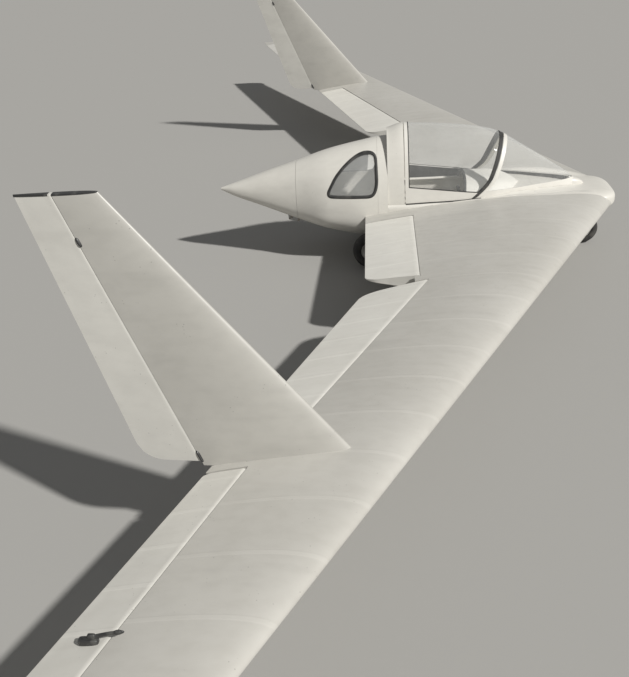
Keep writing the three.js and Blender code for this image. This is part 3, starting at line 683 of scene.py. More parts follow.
@dataclass
class Workshop:
    """Makes objects of meshes, dresses them and hands them to their bodies."""

    finishes: dict[str, Finish] = field(default_factory=dict)
    merge: float = 2e-5
    voxel: float = 0.006
    pressure: float = 4.0
    frames: int = 20
    swell_cap: float = 0.010

    def finish(self, look: Any) -> Finish:
        """Builds a look once and keeps it by name."""
        if look.name not in self.finishes:
            self.finishes[look.name] = look.make()
        return self.finishes[look.name]

    def add(
        self,
        name: str,
        mesh: Mesh,
        look: Any,
        body: str = "airframe",
        replaces: Sequence[str] = (),
        sharp: float = 35.0,
        cut: Mesh | None = None,
        puff: tuple[float, float, float] | None = None,
    ) -> bpy.types.Object:
        """Makes one object in the row frame.

        Args:
            name: object name.
            mesh: mesh in the aircraft frame.
            look: look of its finish.
            body: body that it rides on.
            replaces: nodes that it stands for.
            sharp: edges over this angle, in degrees, stay sharp.
            cut: closed mesh to cut away.
            puff: for a pad, the direction in which it may swell.

        Returns:
            The object.
        """
        made = self._object(name, mesh)
        if puff is not None:
            self._swell(made, np.array(puff))
        if cut is not None:
            cutter = self._object(name + "_cut", cut)
            tool = made.modifiers.new("cut", "BOOLEAN")
            tool.operation, tool.object, tool.solver = "DIFFERENCE", cutter, "EXACT"
            self._apply(made)
            bpy.data.objects.remove(cutter)
        made.data.polygons.foreach_set("use_smooth", np.ones(len(made.data.polygons), bool))
        made.data.set_sharp_from_angle(angle=math.radians(sharp))
        finish = self.finish(look)
        made.data.materials.clear()
        made.data.materials.append(finish.material)
        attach(made, body)
        if replaces:
            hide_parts(*replaces)
        log.info("%s: %d faces on %s", name, len(made.data.polygons), body)
        return made

    def _swell(self, made: bpy.types.Object, facing: Array) -> None:
        """Swells a pad under pressure by a cloth simulation and smooths it once.

        Corner move = d (cap / |d|) tanh(|d| / cap) w, where d is the simulated move, cap is the most that
        a corner may move, and w is the corner's normal along facing, plus 0.35, held between 0 and 1. So
        the side that rests on something keeps its place.

        Args:
            made: the pad.
            facing: direction away from what it rests on.
        """
        tool = made.modifiers.new("grid", "REMESH")
        tool.mode, tool.voxel_size = "VOXEL", self.voxel
        self._apply(made)
        count = len(made.data.vertices)
        start, normal, end = np.empty(count * 3), np.empty(count * 3), np.empty(count * 3)
        made.data.vertices.foreach_get("co", start)
        made.data.vertices.foreach_get("normal", normal)
        cloth = made.modifiers.new("cloth", "CLOTH")
        cloth.settings.use_pressure = True
        cloth.settings.uniform_pressure_force = self.pressure
        cloth.settings.effector_weights.gravity = 0.0
        cloth.point_cache.frame_start, cloth.point_cache.frame_end = 1, self.frames
        for step in range(1, self.frames + 1):
            bpy.context.scene.frame_set(step)
        shape = made.evaluated_get(bpy.context.evaluated_depsgraph_get()).data
        shape.vertices.foreach_get("co", end)
        made.modifiers.clear()
        bpy.context.scene.frame_set(1)
        start, normal, end = start.reshape(-1, 3), normal.reshape(-1, 3), end.reshape(-1, 3)
        move = end - start
        length = np.linalg.norm(move, axis=1, keepdims=True) + 1e-9
        weight = np.clip((normal @ facing)[:, None] + 0.35, 0, 1)
        log.info("%s: simulated move up to %.1f mm", made.name, 1000 * float(length.max()))
        cap = self.swell_cap
        end = start + move / length * cap * np.tanh(length / cap) * weight
        made.data.vertices.foreach_set("co", end.ravel())
        made.data.update()
        finer = made.modifiers.new("finer", "SUBSURF")
        finer.levels = finer.render_levels = 1
        self._apply(made)

    def _apply(self, made: bpy.types.Object) -> None:
        """Replaces an object's mesh by what its modifiers make of it.

        Args:
            made: the object.
        """
        done = bpy.data.meshes.new_from_object(made.evaluated_get(bpy.context.evaluated_depsgraph_get()))
        made.modifiers.clear()
        made.data = done

    def _object(self, name: str, mesh: Mesh) -> bpy.types.Object:
        """Puts a mesh into a linked object in the row frame, with its doubled corners merged.

        Args:
            name: object name.
            mesh: mesh in the aircraft frame.

        Returns:
            The object.
        """
        data = bpy.data.meshes.new(name)
        single = mesh.faces != np.roll(mesh.faces, 1, axis=1)
        counts = single.sum(axis=1)
        data.vertices.add(len(mesh.points))
        data.vertices.foreach_set("co", (mesh.points + SHIFT).ravel())
        data.loops.add(int(counts.sum()))
        data.loops.foreach_set("vertex_index", mesh.faces[single].astype(np.int32))
        data.polygons.add(len(counts))
        data.polygons.foreach_set("loop_start", (np.cumsum(counts) - counts).astype(np.int32))
        data.update(calc_edges=True)
        work = bmesh.new()
        work.from_mesh(data)
        bmesh.ops.remove_doubles(work, verts=work.verts, dist=self.merge)
        bmesh.ops.dissolve_degenerate(work, edges=work.edges, dist=1e-6)
        work.to_mesh(data)
        work.free()
        made = bpy.data.objects.new(name, data)
        bpy.context.scene.collection.objects.link(made)
        return made

    def dress(self, look: Any, *nodes: str) -> None:
        """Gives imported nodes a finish, on their own meshes.

        Args:
            look: look of the finish.
            nodes: their names.
        """
        finish = self.finish(look)
        for node in nodes:
            made = frame["nodes"][node]
            for holder in made.material_slots:
                holder.material = finish.material
            if not made.material_slots:
                made.data.materials.append(finish.material)
            log.info("%s: dressed in %s", node, look.name)


# Finishes of the sailplane
SKIN = PaintLook("wing_paint", "skin", (0.56, 0.545, 0.505), (0.47, 0.455, 0.415), 0.36, 0.1)
# Painted shade: the fin paint is the wing paint made darker, to stand for the shade on the upright fins.
FIN_SKIN_SHADED = PaintLook("fin_paint", "skin", (0.515, 0.502, 0.463), (0.425, 0.413, 0.38), dirt=0.6)
POD_PAINT = PaintLook("pod_paint", "pod_cream", (0.72, 0.70, 0.645), (0.63, 0.61, 0.56))
CONTROL = PaintLook(
    "control_paint", "control_cream", (0.78, 0.765, 0.71), (0.69, 0.67, 0.615), 0.245, 0.05
)
# Painted shade: the elevon paint is the control paint made darker, to stand for the shade on the elevons.
ELEVON_SHADED = PaintLook(
    "elevon_paint", "control_cream", (0.67, 0.656, 0.61), (0.59, 0.573, 0.525), 0.245, 0.05
)
# Painted shade: the rudder paint is the control paint made darker, to stand for the shade on the upright
# rudders.
RUDDER_SHADED = PaintLook("rudder_paint", "control_cream", (0.70, 0.686, 0.637), (0.60, 0.587, 0.545))
FRAME_PAINT = PaintLook("frame_paint", "frame_paint", (0.74, 0.72, 0.67), (0.64, 0.62, 0.57), dirt=0.3)
CABIN = PaintLook("cabin_paint", "cabin_paint", (0.82, 0.805, 0.75), (0.72, 0.705, 0.655), roughness=0.6)
COVER = PaintLook(
    "cover_paint", "cabin_paint", (0.80, 0.785, 0.73), (0.71, 0.695, 0.645), roughness=0.6, dirt=0.3
)
PANEL = PaintLook(
    "panel_paint", "panel_paint", (0.035, 0.035, 0.034), (0.055, 0.054, 0.05), roughness=0.55
)
DIAL = PaintLook(
    "dial_face", "panel_paint", (0.02, 0.02, 0.02), (0.03, 0.03, 0.03), roughness=0.3, dirt=0.0
)
MARK = PaintLook("dial_mark", "panel_paint", (0.75, 0.74, 0.68), (0.68, 0.66, 0.6), dirt=0.0)
STEEL = MetalLook("worn_steel", "steel", (0.30, 0.30, 0.295), (0.20, 0.17, 0.14))
DARK_METAL = MetalLook("dark_metal", "dark_metal", (0.045, 0.045, 0.045), (0.10, 0.10, 0.095), 0.2, 0.45)
RIM = MetalLook("rim_alloy", "rim", (0.62, 0.62, 0.60), (0.42, 0.41, 0.39), 0.75, 0.42)
SEAL = RubberLook("seal_rubber", "stick_grip", (0.028, 0.028, 0.027), (0.13, 0.125, 0.115), 0.4)
GRIP = RubberLook("grip_rubber", "stick_grip", (0.02, 0.02, 0.02), (0.08, 0.077, 0.07), 0.3)
TYRE = RubberLook("tyre_rubber", "tyre", (0.03, 0.029, 0.028), (0.17, 0.162, 0.145), 0.45)
CLOTH = ClothLook("seat_cloth", "cloth", (0.66, 0.63, 0.55), (0.78, 0.75, 0.67))
WEBBING = ClothLook("harness_webbing", "cloth", (0.20, 0.19, 0.155), (0.30, 0.28, 0.23), 0.003)
ACRYLIC = AcrylicLook("clear_acrylic", "glass", (0.90, 0.915, 0.90))
PANE = AcrylicLook("side_acrylic", "glass", (0.90, 0.915, 0.90), 0.15)
VINYL = RubberLook("lining_vinyl", "stick_grip", (0.022, 0.021, 0.02), (0.07, 0.066, 0.06), 0.4)


# The wing


def foil_half(s: Array) -> Array:
    """Half thickness of the wing section.

    Half thickness = 5 (0.2969 sqrt s - 0.126 s - 0.3516 s ** 2 + 0.2843 s ** 3 - 0.1036 s ** 4).

    Args:
        s: shares of the chord.

    Returns:
        The half thickness at each, as a part of the greatest thickness.
    """
    s = np.clip(s, 0, 1)
    return 5 * (0.2969 * np.sqrt(s) - 0.126 * s - 0.3516 * s**2 + 0.2843 * s**3 - 0.1036 * s**4)


Line = tuple[tuple[float, float], tuple[float, float]]


def station_on(hinge: Line, x: Any) -> Any:
    """Station of a straight hinge line at a span."""
    (xa, ya), (xb, yb) = hinge
    return ya + (yb - ya) * (x - xa) / (xb - xa)


@dataclass(frozen=True)
class Bay:
    """Stretch of the fixed wing: its rear edge follows a hinge line, a station or the trailing edge."""

    start: float
    end: float
    rows: int
    hinge: Line | None = None
    edge: float | None = None


@dataclass(frozen=True)
class Surface:
    """Trailing edge surface: hinge line, lean and rounding of its two sides, and its rib pitch."""

    name: str
    hinge: Line
    look: PaintLook = CONTROL
    inner_lean: float = 0.0
    outer_lean: float = 0.0
    inner_round: float = 0.0
    outer_round: float = 0.0
    rib: float = 0.245


@dataclass
class Wing:
    """One wing half with its tip and trailing edge surfaces."""

    side: int
    word: str
    dihedral: float = 0.04
    above: float = 0.6
    rear_half: float = 0.002
    nose_root: float = 0.25
    root_end: float = 0.58
    lip: float = 0.017
    chordwise: int = 44
    cove_steps: int = 13
    spans: tuple[float, ...] = (0.25, 1.98, 2.02, 7.3)
    afts: tuple[float, ...] = (0.738, 0.72, 0.68983, 2.49295)
    shares: tuple[float, ...] = (0.112, 0.135, 0.138, 0.12)
    surfaces: tuple[Surface, ...] = (
        Surface("centre_flap", ((0.592, 0.336), (1.968, 0.336)), outer_lean=-0.078, outer_round=0.05),
        Surface("inner_flap", ((2.072, 0.283), (4.04, 1.098)), inner_lean=0.078, inner_round=0.07),
        Surface("elevon", ((4.3, 1.273), (7.272, 2.253)), ELEVON_SHADED, inner_round=0.02, outer_round=0.03),
    )
    fore_root: float = -1.56
    sweep: float = 0.4847
    tip_spans: tuple[float, float] = (7.3006, 7.5)
    tip_fore: tuple[float, float] = (1.980, 0.30)
    tip_aft: tuple[float, float] = (2.4935, 0.0675)
    tip_thick: float = 0.0616
    horn_span: float = 5.4
    horn_line: tuple[tuple[float, float], ...] = (
        (0.086, 0.008), (0.045, 0.022), (0.0, 0.036), (-0.04, 0.046), (-0.084, 0.052),
    )

    def fore(self, x: Array) -> Array:
        """Leading edge, straight from the root back along the span."""
        return self.fore_root + self.sweep * x

    def aft(self, x: Array) -> Array:
        """Trailing edge, straight between the stations."""
        return np.interp(x, self.spans, self.afts)

    def thick(self, x: Array) -> Array:
        """Greatest thickness, straight between the stations.

        Args:
            x: span.

        Returns:
            The thickness there.
        """
        spans = np.array(self.spans)
        depth = (np.array(self.afts) - self.fore(spans)) * np.array(self.shares)
        return np.interp(x, spans, depth)

    def skin(self, x: Array, y: Array, face: int) -> Array:
        """Height of the upper (face 1) or lower (face -1) skin at a plan point.

        z = dihedral x + face (2 share thick(x) half(s) + rear_half s), where s is the chord share.

        Args:
            x: span.
            y: station.
            face: 1 above, -1 below.

        Returns:
            The height.
        """
        s = (y - self.fore(x)) / (self.aft(x) - self.fore(x))
        share = self.above if face > 0 else 1 - self.above
        half = 2 * share * self.thick(x) * foil_half(s) + self.rear_half * np.clip(s, 0, 1)
        return self.dihedral * x + face * half

    def core(self, x: Array, y: Array) -> tuple[Array, Array]:
        """Centre height and half thickness at a plan point."""
        up, low = self.skin(x, y, 1), self.skin(x, y, -1)
        return (up + low) / 2, (up - low) / 2

    def root(self, s: Array) -> Array:
        """Span of the root edge: 0.252 at the nose, 0.376 from 0.3 of the chord on, a smooth step."""
        return 0.252 + 0.124 * smooth_step(s / 0.3)

    def bays(self) -> list[Bay]:
        """Stretches of the fixed wing from root to tip."""
        flap, inner, elevon = (s.hinge for s in self.surfaces)
        return [
            Bay(self.nose_root, self.root_end, 8),
            Bay(self.root_end, 1.98, 24, flap),
            Bay(1.98, 2.06, 3, edge=0.362),
            Bay(2.06, 4.052, 34, inner),
            Bay(4.052, 4.288, 6),
            Bay(4.288, 7.284, 46, elevon),
            Bay(7.284, 7.2996, 2),
        ]

    def fixed(self) -> Mesh:
        """Fixed wing: closed sections row by row, and an end cap at the root and the tip."""
        rings = []
        for bay in self.bays():
            rings += [self._section(bay, x) for x in np.linspace(bay.start, bay.end, bay.rows)]
        mesh = tube(np.stack(rings), closed_ends=False)
        columns = len(rings[0])
        ends = [self._end_cap(start, columns) for start in (0, (len(rings) - 1) * columns)]
        return turned_out(Mesh(mesh.points, np.concatenate([mesh.faces, *ends])))

    def _section(self, bay: Bay, x: float) -> Array:
        """Section of the fixed wing at a span.

        It runs from the rear lip over the top, round the nose and back below to the other lip. In the
        first bay each corner's span goes from the root edge out to the bay's end.

        Args:
            bay: stretch that the section lies in.
            x: span.

        Returns:
            Its corners.
        """
        back = (cosine_spread(self.chordwise) ** 1.15)[::-1]
        if bay.hinge:
            rear = station_on(bay.hinge, x) - self.lip
        else:
            rear = bay.edge if bay.edge else float(self.aft(x))
        if x < self.root_end:
            reach = (x - self.nose_root) / (self.root_end - self.nose_root)
            xs = self.root(back) + reach * (self.root_end - self.root(back))
            ys = self.fore(xs) + back * (self.aft(xs) - self.fore(xs))
        else:
            fore = self.fore(x)
            xs = np.full(self.chordwise, x)
            ys = fore + back * (rear - fore)
        top = grid(xs, ys, self.skin(xs, ys, 1))
        low = grid(xs, ys, self.skin(xs, ys, -1))[::-1]
        if bay.hinge:
            closing = self._cove(bay.hinge, x, top[0, 2], low[-1, 2])
        else:
            k = np.linspace(0, 1, self.cove_steps)[:, None]
            closing = low[-1] * (1 - k) + top[0] * k
        return np.concatenate([top, low[1:], closing[1:-1]])

    def _cove(self, hinge: Line, x: float, top: float, low: float) -> Array:
        """Hollow arc about a hinge that joins the lower lip to the upper one.

        Its angle runs from the lower lip's to the upper lip's, and its radius from one lip's distance
        to the other's.

        Args:
            hinge: hinge line.
            x: span.
            top: height of the upper lip.
            low: height of the lower lip.

        Returns:
            Its corners.
        """
        pivot = station_on(hinge, x)
        centre, _ = self.core(np.array(x), np.array(pivot))
        up, down = top - centre, centre - low
        angle = np.linspace(-math.atan2(down, self.lip), math.atan2(up, self.lip), self.cove_steps)
        radius = np.linspace(math.hypot(down, self.lip), math.hypot(up, self.lip), self.cove_steps)
        return grid(x, pivot - radius * np.cos(angle), centre + radius * np.sin(angle))

    def _end_cap(self, start: int, columns: int) -> Array:
        """Ladder of quads that closes one end section between its faces, and a fan at its rear edge.

        Args:
            start: number of the section's first corner.
            columns: corners in the section.

        Returns:
            The faces, turned about at the root.
        """
        v = np.arange(self.chordwise - 1)
        last = 2 * self.chordwise - 2
        top, low = start + v, start + last - v
        ladder = np.stack([top, top + 1, low - 1, low], -1)
        rear = np.arange(last, columns - 1) + start
        fan = np.stack([np.full(len(rear), start), rear, rear + 1, rear + 1], -1)
        faces = np.concatenate([ladder, fan])
        return faces if start else faces[:, ::-1]

    def moving(self, surface: Surface, chordwise: int = 22, arc: int = 15, thin: float = 0.0004) -> Mesh:
        """One trailing edge surface.

        Corner (u, s): span x = inner(s) + u (outer(s) - inner(s)), station y = hinge(x) + s (aft(x) -
        hinge(x)), height on the skin with a fabric sag of 1.6 mm sin(pi x / rib) ** 2. Ahead of the
        hinge a half circle of the local half thickness closes the nose.

        Args:
            surface: the surface to build.
            chordwise: corners along each face.
            arc: corners round the nose.
            thin: how much smaller the nose is than the skin's thickness.

        Returns:
            The mesh.
        """
        (xa, _), (xb, _) = surface.hinge
        rows = max(12, int((xb - xa) / 0.03))
        s = np.linspace(0, 1, chordwise) ** 0.9
        turn_in = 1 - np.sqrt(np.clip(1 - np.clip((s - 0.72) / 0.28, 0, 1) ** 2, 0, 1))
        inner = xa + surface.inner_lean * s + surface.inner_round * turn_in
        outer = xb + surface.outer_lean * s - surface.outer_round * turn_in
        x = inner + np.linspace(0, 1, rows)[:, None] * (outer - inner)
        hinge = station_on(surface.hinge, x)
        y = hinge + s * (self.aft(x) - hinge)
        held = np.clip(np.minimum(s * 6, (1 - s) * 6), 0, 1)
        sag = 0.0016 * np.sin(np.pi * (x - xa) / surface.rib) ** 2 * held
        top = grid(x, y, self.skin(x, y, 1) - sag)
        low = grid(x, y, self.skin(x, y, -1) + sag)
        centre, half = self.core(x[:, :1], hinge[:, :1])
        angle = nose_angles(arc)
        nose = grid(
            x[:, :1], hinge[:, :1] - (half - thin) * np.cos(angle), centre + (half - thin) * np.sin(angle)
        )
        return tube(np.concatenate([top[:, ::-1], nose, low], axis=1))

    def tip_fairing(self) -> Mesh:
        """Rounded tip: chord and thickness shrink as a quarter ellipse over its span."""
        t = np.linspace(0, np.pi / 2, 14)[:, None]
        shrink = np.cos(t)
        start, end = self.tip_spans
        x = start + (end - start) * np.sin(t)
        fore = self.tip_fore[0] + self.tip_fore[1] * (1 - shrink) ** 1.2
        aft = self.tip_aft[0] + self.tip_aft[1] * np.sin(t) ** 1.5
        thick = self.tip_thick * (0.12 + 0.88 * shrink)
        s = cosine_spread(30)
        y = fore + s * (aft - fore)
        top, low = (
            grid(x, y, self.dihedral * x + face * (share * thick * foil_half(s) + self.rear_half * s))
            for share, face in ((2 * self.above, 1), (2 - 2 * self.above, -1))
        )
        return two_faced(top[:, ::-1], low[:, ::-1])

    def horn(self) -> Mesh:
        """Mass balance: a tapered bar from a clamp on the elevon that rises forward to its weight.

        Radius = 10.5 mm - 4.5 mm k with a swelling of 3.5 mm at k = 0.86, rounded at both ends, where k
        goes from 0 at the clamp to 1 at the weight.

        Returns:
            The mesh.
        """
        x = self.horn_span
        hinge = station_on(self.surfaces[2].hinge, x)
        z = float(self.skin(np.array(x), np.array(hinge), 1))
        line = smooth_path(np.array([(x, hinge + aft, z + up) for aft, up in self.horn_line]), 40)
        k = np.linspace(0, 1, len(line))
        radius = 0.0105 - 0.0045 * k + 0.0035 * np.exp(-(((k - 0.86) / 0.07) ** 4))
        radius *= np.sqrt(np.clip(1 - np.abs(2 * k - 1) ** 24, 0.02, 1))
        bar = swept(line, round_outline(1.0, 18) * np.array([1.0, 0.85]), (1.0, 0.0, 0.0), radius)
        foot = np.array([x, hinge, z])
        clamp = soft_block(foot + (-0.015, 0.022, -0.012), foot + (0.015, 0.10, 0.016), 5.0, 14)
        lug = soft_block(foot + (-0.008, 0.03, 0.0), foot + (0.008, 0.062, 0.038), 5.0, 12)
        return joined([bar, clamp, lug])

    def build(self, shop: Workshop) -> None:
        """Builds and dresses the wing half.

        Args:
            shop: maker of its objects.
        """
        panel, tip, horn = (m.on(self.side) for m in (self.fixed(), self.tip_fairing(), self.horn()))
        shop.add(f"wing_panel_{self.word}", panel, SKIN, replaces=[f"wing_{self.word}"], sharp=40)
        shop.add(f"tip_fairing_{self.word}", tip, SKIN, replaces=[f"wingtip_{self.word}"], sharp=50)
        for surface in self.surfaces:
            body = f"{surface.name}_{self.word}"
            shop.add(f"{body}_skin", self.moving(surface).on(self.side), surface.look, body, [body], 50)
        horn_of = [f"mass_balance_{self.word}"]
        shop.add(f"balance_horn_{self.word}", horn, DARK_METAL, f"elevon_{self.word}", horn_of, 50)


@dataclass
class Fin:
    """One fin and its rudder."""

    side: int
    word: str
    foot: float = 0.174
    top: float = 1.541
    span_foot: float = 4.2
    span_top: float = 4.056
    share: float = 0.085
    edges: tuple[tuple[float, float], ...] = ((0.694, 1.817), (1.494, 2.035), (1.781, 2.201))
    rudder_foot: float = 0.198
    lip: float = 0.010
    fittings: tuple[tuple[float, float, float], ...] = ((0.186, 0.262, 0.009), (1.296, 1.346, 0.008))

    def edge(self, which: int, z: Array) -> Array:
        """Station of the front, hinge or rear line at a height."""
        foot, top = self.edges[which]
        return foot + (top - foot) * (z - self.foot) / (self.top - self.foot)

    def span(self, z: Array) -> Array:
        """Span of the middle plane at a height."""
        return self.span_foot + (self.span_top - self.span_foot) * (z - self.foot) / (self.top - self.foot)

    def half(self, y: Array, z: Array) -> Array:
        """Half thickness: share chord half(s) + 2 mm s.

        Args:
            y: stations.
            z: heights.

        Returns:
            The half thickness there.
        """
        fore, aft = self.edge(0, z), self.edge(2, z)
        s = (y - fore) / (aft - fore)
        return self.share * (aft - fore) * foil_half(s) + 0.002 * np.clip(s, 0, 1)

    def plate(self, rows: int = 40) -> Mesh:
        """Fin as a closed skin: its top edge is drawn in a little, and its rear edge has square lips.

        Args:
            rows: rows from foot to top, less the two of the drawn edge.

        Returns:
            The mesh.
        """
        z = np.concatenate([np.linspace(self.foot, self.top - 0.012, rows), [self.top - 0.004, self.top]])
        z = z[:, None]
        draw = np.concatenate([np.ones(rows), [0.93, 0.8]])[:, None]
        s = cosine_spread(30)[::-1]
        fore, rear = self.edge(0, z), self.edge(1, z) - self.lip
        y = fore + s * (rear - fore)
        x, t = self.span(z), self.half(y, z) * draw
        lip = t[:, :1]
        out, back = grid(x + t, y, z), grid(x - t, y, z)[:, ::-1]
        port, starboard = (grid(x + side * 0.75 * lip, y[:, :1] - 0.8 * lip, z) for side in (PORT, STARBOARD))
        return tube(np.concatenate([port, out, back, starboard], axis=1))

    def rudder(self, rows: int = 60, chordwise: int = 20, arc: int = 13) -> Mesh:
        """Rudder: nose half circle at the hinge, skin to the rear edge, lower rear corner rounded.

        Its foot rises over the last 40% of the chord as 85 mm (1 - sqrt(1 - k ** 2)), and its fabric
        sags by 1 mm sin(pi z / 0.23) ** 2 between the ribs.

        Args:
            rows: rows from foot to top.
            chordwise: corners along each face.
            arc: corners round the nose.

        Returns:
            The mesh.
        """
        s = np.linspace(0, 1, chordwise)
        k = np.clip((s - 0.6) / 0.4, 0, 1)
        foot = self.rudder_foot + 0.085 * (1 - np.sqrt(np.clip(1 - k**2, 0, 1)))
        z = foot + np.linspace(0, 1, rows)[:, None] * (self.top - foot)
        hinge, aft = self.edge(1, z), self.edge(2, z)
        y = hinge + s * (aft - hinge)
        x = self.span(z)
        sag = 0.001 * np.sin(np.pi * z / 0.23) ** 2 * np.clip(np.minimum(s, 1 - s) * 6, 0, 1)
        t = self.half(y, z) - sag
        angle = nose_angles(arc)
        nose = grid(x[:, :1] + t[:, :1] * np.sin(angle), hinge[:, :1] - t[:, :1] * np.cos(angle), z[:, :1])
        return tube(np.concatenate([grid(x + t, y, z)[:, ::-1], nose, grid(x - t, y, z)], axis=1))

    def brackets(self) -> Mesh:
        """Two hinge fittings that stand over the hinge gap: long low humps that follow the hinge line.

        Ring at k from -1 to 1 is an ellipse whose half axes swell as sqrt(1 - k ** 4).

        Returns:
            The mesh.
        """
        k = np.linspace(-1, 1, 18)[:, None]
        swell = np.sqrt(np.clip(1 - k**4, 0.0, 1))
        a = np.linspace(0, 2 * np.pi, 20, endpoint=False)
        parts = []
        for low, high, proud in self.fittings:
            z = np.linspace(low, high, len(k))[:, None]
            middle = self.edge(1, z) - 0.014
            depth = (self.half(middle, z) + proud) * (0.25 + 0.75 * swell)
            parts.append(tube(grid(self.span(z) + depth * np.cos(a), middle + 0.0135 * swell * np.sin(a), z)))
        return joined(parts)

    def cap(self, fore: int, aft: int, ahead: float, behind: float, deep: tuple[float, float]) -> Mesh:
        """Dark strip over the top edge between two of the fin's lines, 1.2 mm proud.

        Its depth goes from the first value at the front to the second at the rear, along s from 0 to 1.

        Args:
            fore: line that it starts from.
            aft: line that it ends at.
            ahead: its start behind the first line.
            behind: its end behind the second line.
            deep: depth at its front and its rear.

        Returns:
            The mesh.
        """
        drop, lift, proud = np.array([
            (1.0, 0.0, 0.0012), (0.1, 0.0, 0.0012), (0.0, 0.0012, 0.0003), (0.0, 0.0014, -0.002),
        ]).T[..., None]
        z = np.full_like(drop, self.top)
        s = cosine_spread(26)[::-1]
        front, rear = self.edge(fore, z) + ahead, self.edge(aft, z) + behind
        y = front + s * (rear - front)
        level = z - drop * (deep[0] + s * (deep[1] - deep[0])) + lift
        x, t = self.span(z), np.clip(self.half(y, z) + proud, 0.001, None)
        return two_faced(grid(x + t, y, level), grid(x - t, y, level))

    def build(self, shop: Workshop) -> None:
        """Builds and dresses the fin and rudder.

        Args:
            shop: maker of its objects.
        """
        rudder = f"rudder_{self.word}"
        front_cap = self.cap(0, 1, -0.0012, -0.012, (0.004, 0.008))
        rear_cap = self.cap(1, 2, 0.006, 0.0012, (0.008, 0.010))
        for name, mesh, look, body, replaces, sharp in (
            (f"fin_skin_{self.word}", self.plate(), FIN_SKIN_SHADED, "airframe", [f"fin_{self.word}"], 45),
            (f"{rudder}_skin", self.rudder(), RUDDER_SHADED, rudder, [rudder], 50),
            (f"rudder_fittings_{self.word}", self.brackets(), DARK_METAL, "airframe", [], 35),
            (f"fin_cap_{self.word}", front_cap, DARK_METAL, "airframe", [], 50),
            (f"rudder_cap_{self.word}", rear_cap, DARK_METAL, rudder, [], 50),
        ):
            shop.add(name, mesh.on(self.side), look, body, replaces, sharp)


# The pod


@dataclass(frozen=True)
class Sections:
    """Superellipse sections along the pod: station, half width, widest line, top and bottom."""

    rows: tuple[tuple[float, float, float, float, float], ...]
    above: float
    below: float

    def at(self, y: Array) -> tuple[Array, Array, Array, Array]:
        """Half width, widest line, top and bottom at stations, as smooth columns."""
        table = np.array(self.rows)
        return tuple(smooth_column(table[:, 0], table[:, i], y) for i in range(1, 5))

    def point(self, y: Array, angle: Array, inset: Array | float = 0.0) -> Array:
        """Skin point: x = w |cos a| ** (2 / p), z = mid + h |sin a| ** (2 / p), signs kept.

        Args:
            y: stations.
            angle: angle from port over the top.
            inset: distance inside the skin, by which w and h are less.

        Returns:
            Points, one for each station and angle.
        """
        w, mid, top, low = self.at(y)
        c, s = np.cos(angle), np.sin(angle)
        power = np.where(s > 0, self.above, self.below)
        height = np.where(s > 0, top - mid, mid - low)
        x = (w - inset) * np.sign(c) * np.abs(c) ** (2 / power)
        z = mid + (height - inset) * np.sign(s) * np.abs(s) ** (2 / power)
        return grid(x, y, z)

    def deck(self, x: Array, y: Array) -> Array:
        """Height of the upper skin at a plan point: mid + h (1 - (|x| / w) ** p) ** (1 / p).

        Args:
            x: span.
            y: stations.

        Returns:
            The heights.
        """
        w, mid, top, _ = self.at(y)
        k = np.clip(np.abs(x) / w, 0, 1)
        return mid + (top - mid) * (1 - k**self.above) ** (1 / self.above)

    def side_at(self, y: Array, z: Array, inset: float = 0.0) -> Array:
        """Half width at a height above the widest line: w (1 - ((z - mid) / h) ** p) ** (1 / p).

        Args:
            y: stations.
            z: heights.
            inset: distance inside the skin.

        Returns:
            The half widths.
        """
        w, mid, top, _ = self.at(y)
        k = np.clip((z - mid) / (top - mid - inset), 0, 1)
        return (w - inset) * (1 - k**self.above) ** (1 / self.above)


LOW = Sections(
    (
        (-1.500, 0.288, 0.020, 0.106, -0.047), (-1.200, 0.330, 0.024, 0.122, -0.130),
        (-0.900, 0.372, 0.036, 0.146, -0.205), (-0.560, 0.385, 0.046, 0.160, -0.270),
        (-0.250, 0.388, 0.048, 0.150, -0.298), (0.150, 0.390, 0.048, 0.142, -0.300),
        (0.560, 0.392, 0.046, 0.140, -0.270), (0.625, 0.392, 0.045, 0.140, -0.262),
    ),
    4.0,
    2.6,
)
HIGH = Sections(
    (
        (0.532, 0.390, 0.046, 0.632, -0.273), (0.620, 0.392, 0.045, 0.622, -0.262),
        (0.780, 0.396, 0.036, 0.592, -0.235), (1.060, 0.368, 0.032, 0.532, -0.170),
        (1.360, 0.258, 0.082, 0.440, -0.080), (1.700, 0.150, 0.152, 0.338, 0.042),
        (1.950, 0.072, 0.190, 0.256, 0.132), (2.083, 0.012, 0.203, 0.214, 0.192),
    ),
    2.0,
    2.6,
)
BUBBLE = Sections(
    (
        (-1.150, 0.050, 0.060, 0.168, -0.040), (-1.080, 0.092, 0.060, 0.232, -0.040),
        (-0.950, 0.140, 0.060, 0.322, -0.040), (-0.800, 0.192, 0.060, 0.420, -0.040),
        (-0.660, 0.244, 0.060, 0.508, -0.040), (-0.510, 0.292, 0.060, 0.600, -0.040),
        (-0.380, 0.326, 0.060, 0.655, -0.040), (-0.100, 0.358, 0.060, 0.705, -0.040),
        (0.200, 0.365, 0.060, 0.730, -0.040), (0.380, 0.370, 0.060, 0.738, -0.040),
        (0.526, 0.370, 0.060, 0.700, -0.040),
    ),
    2.0,
    2.0,
)


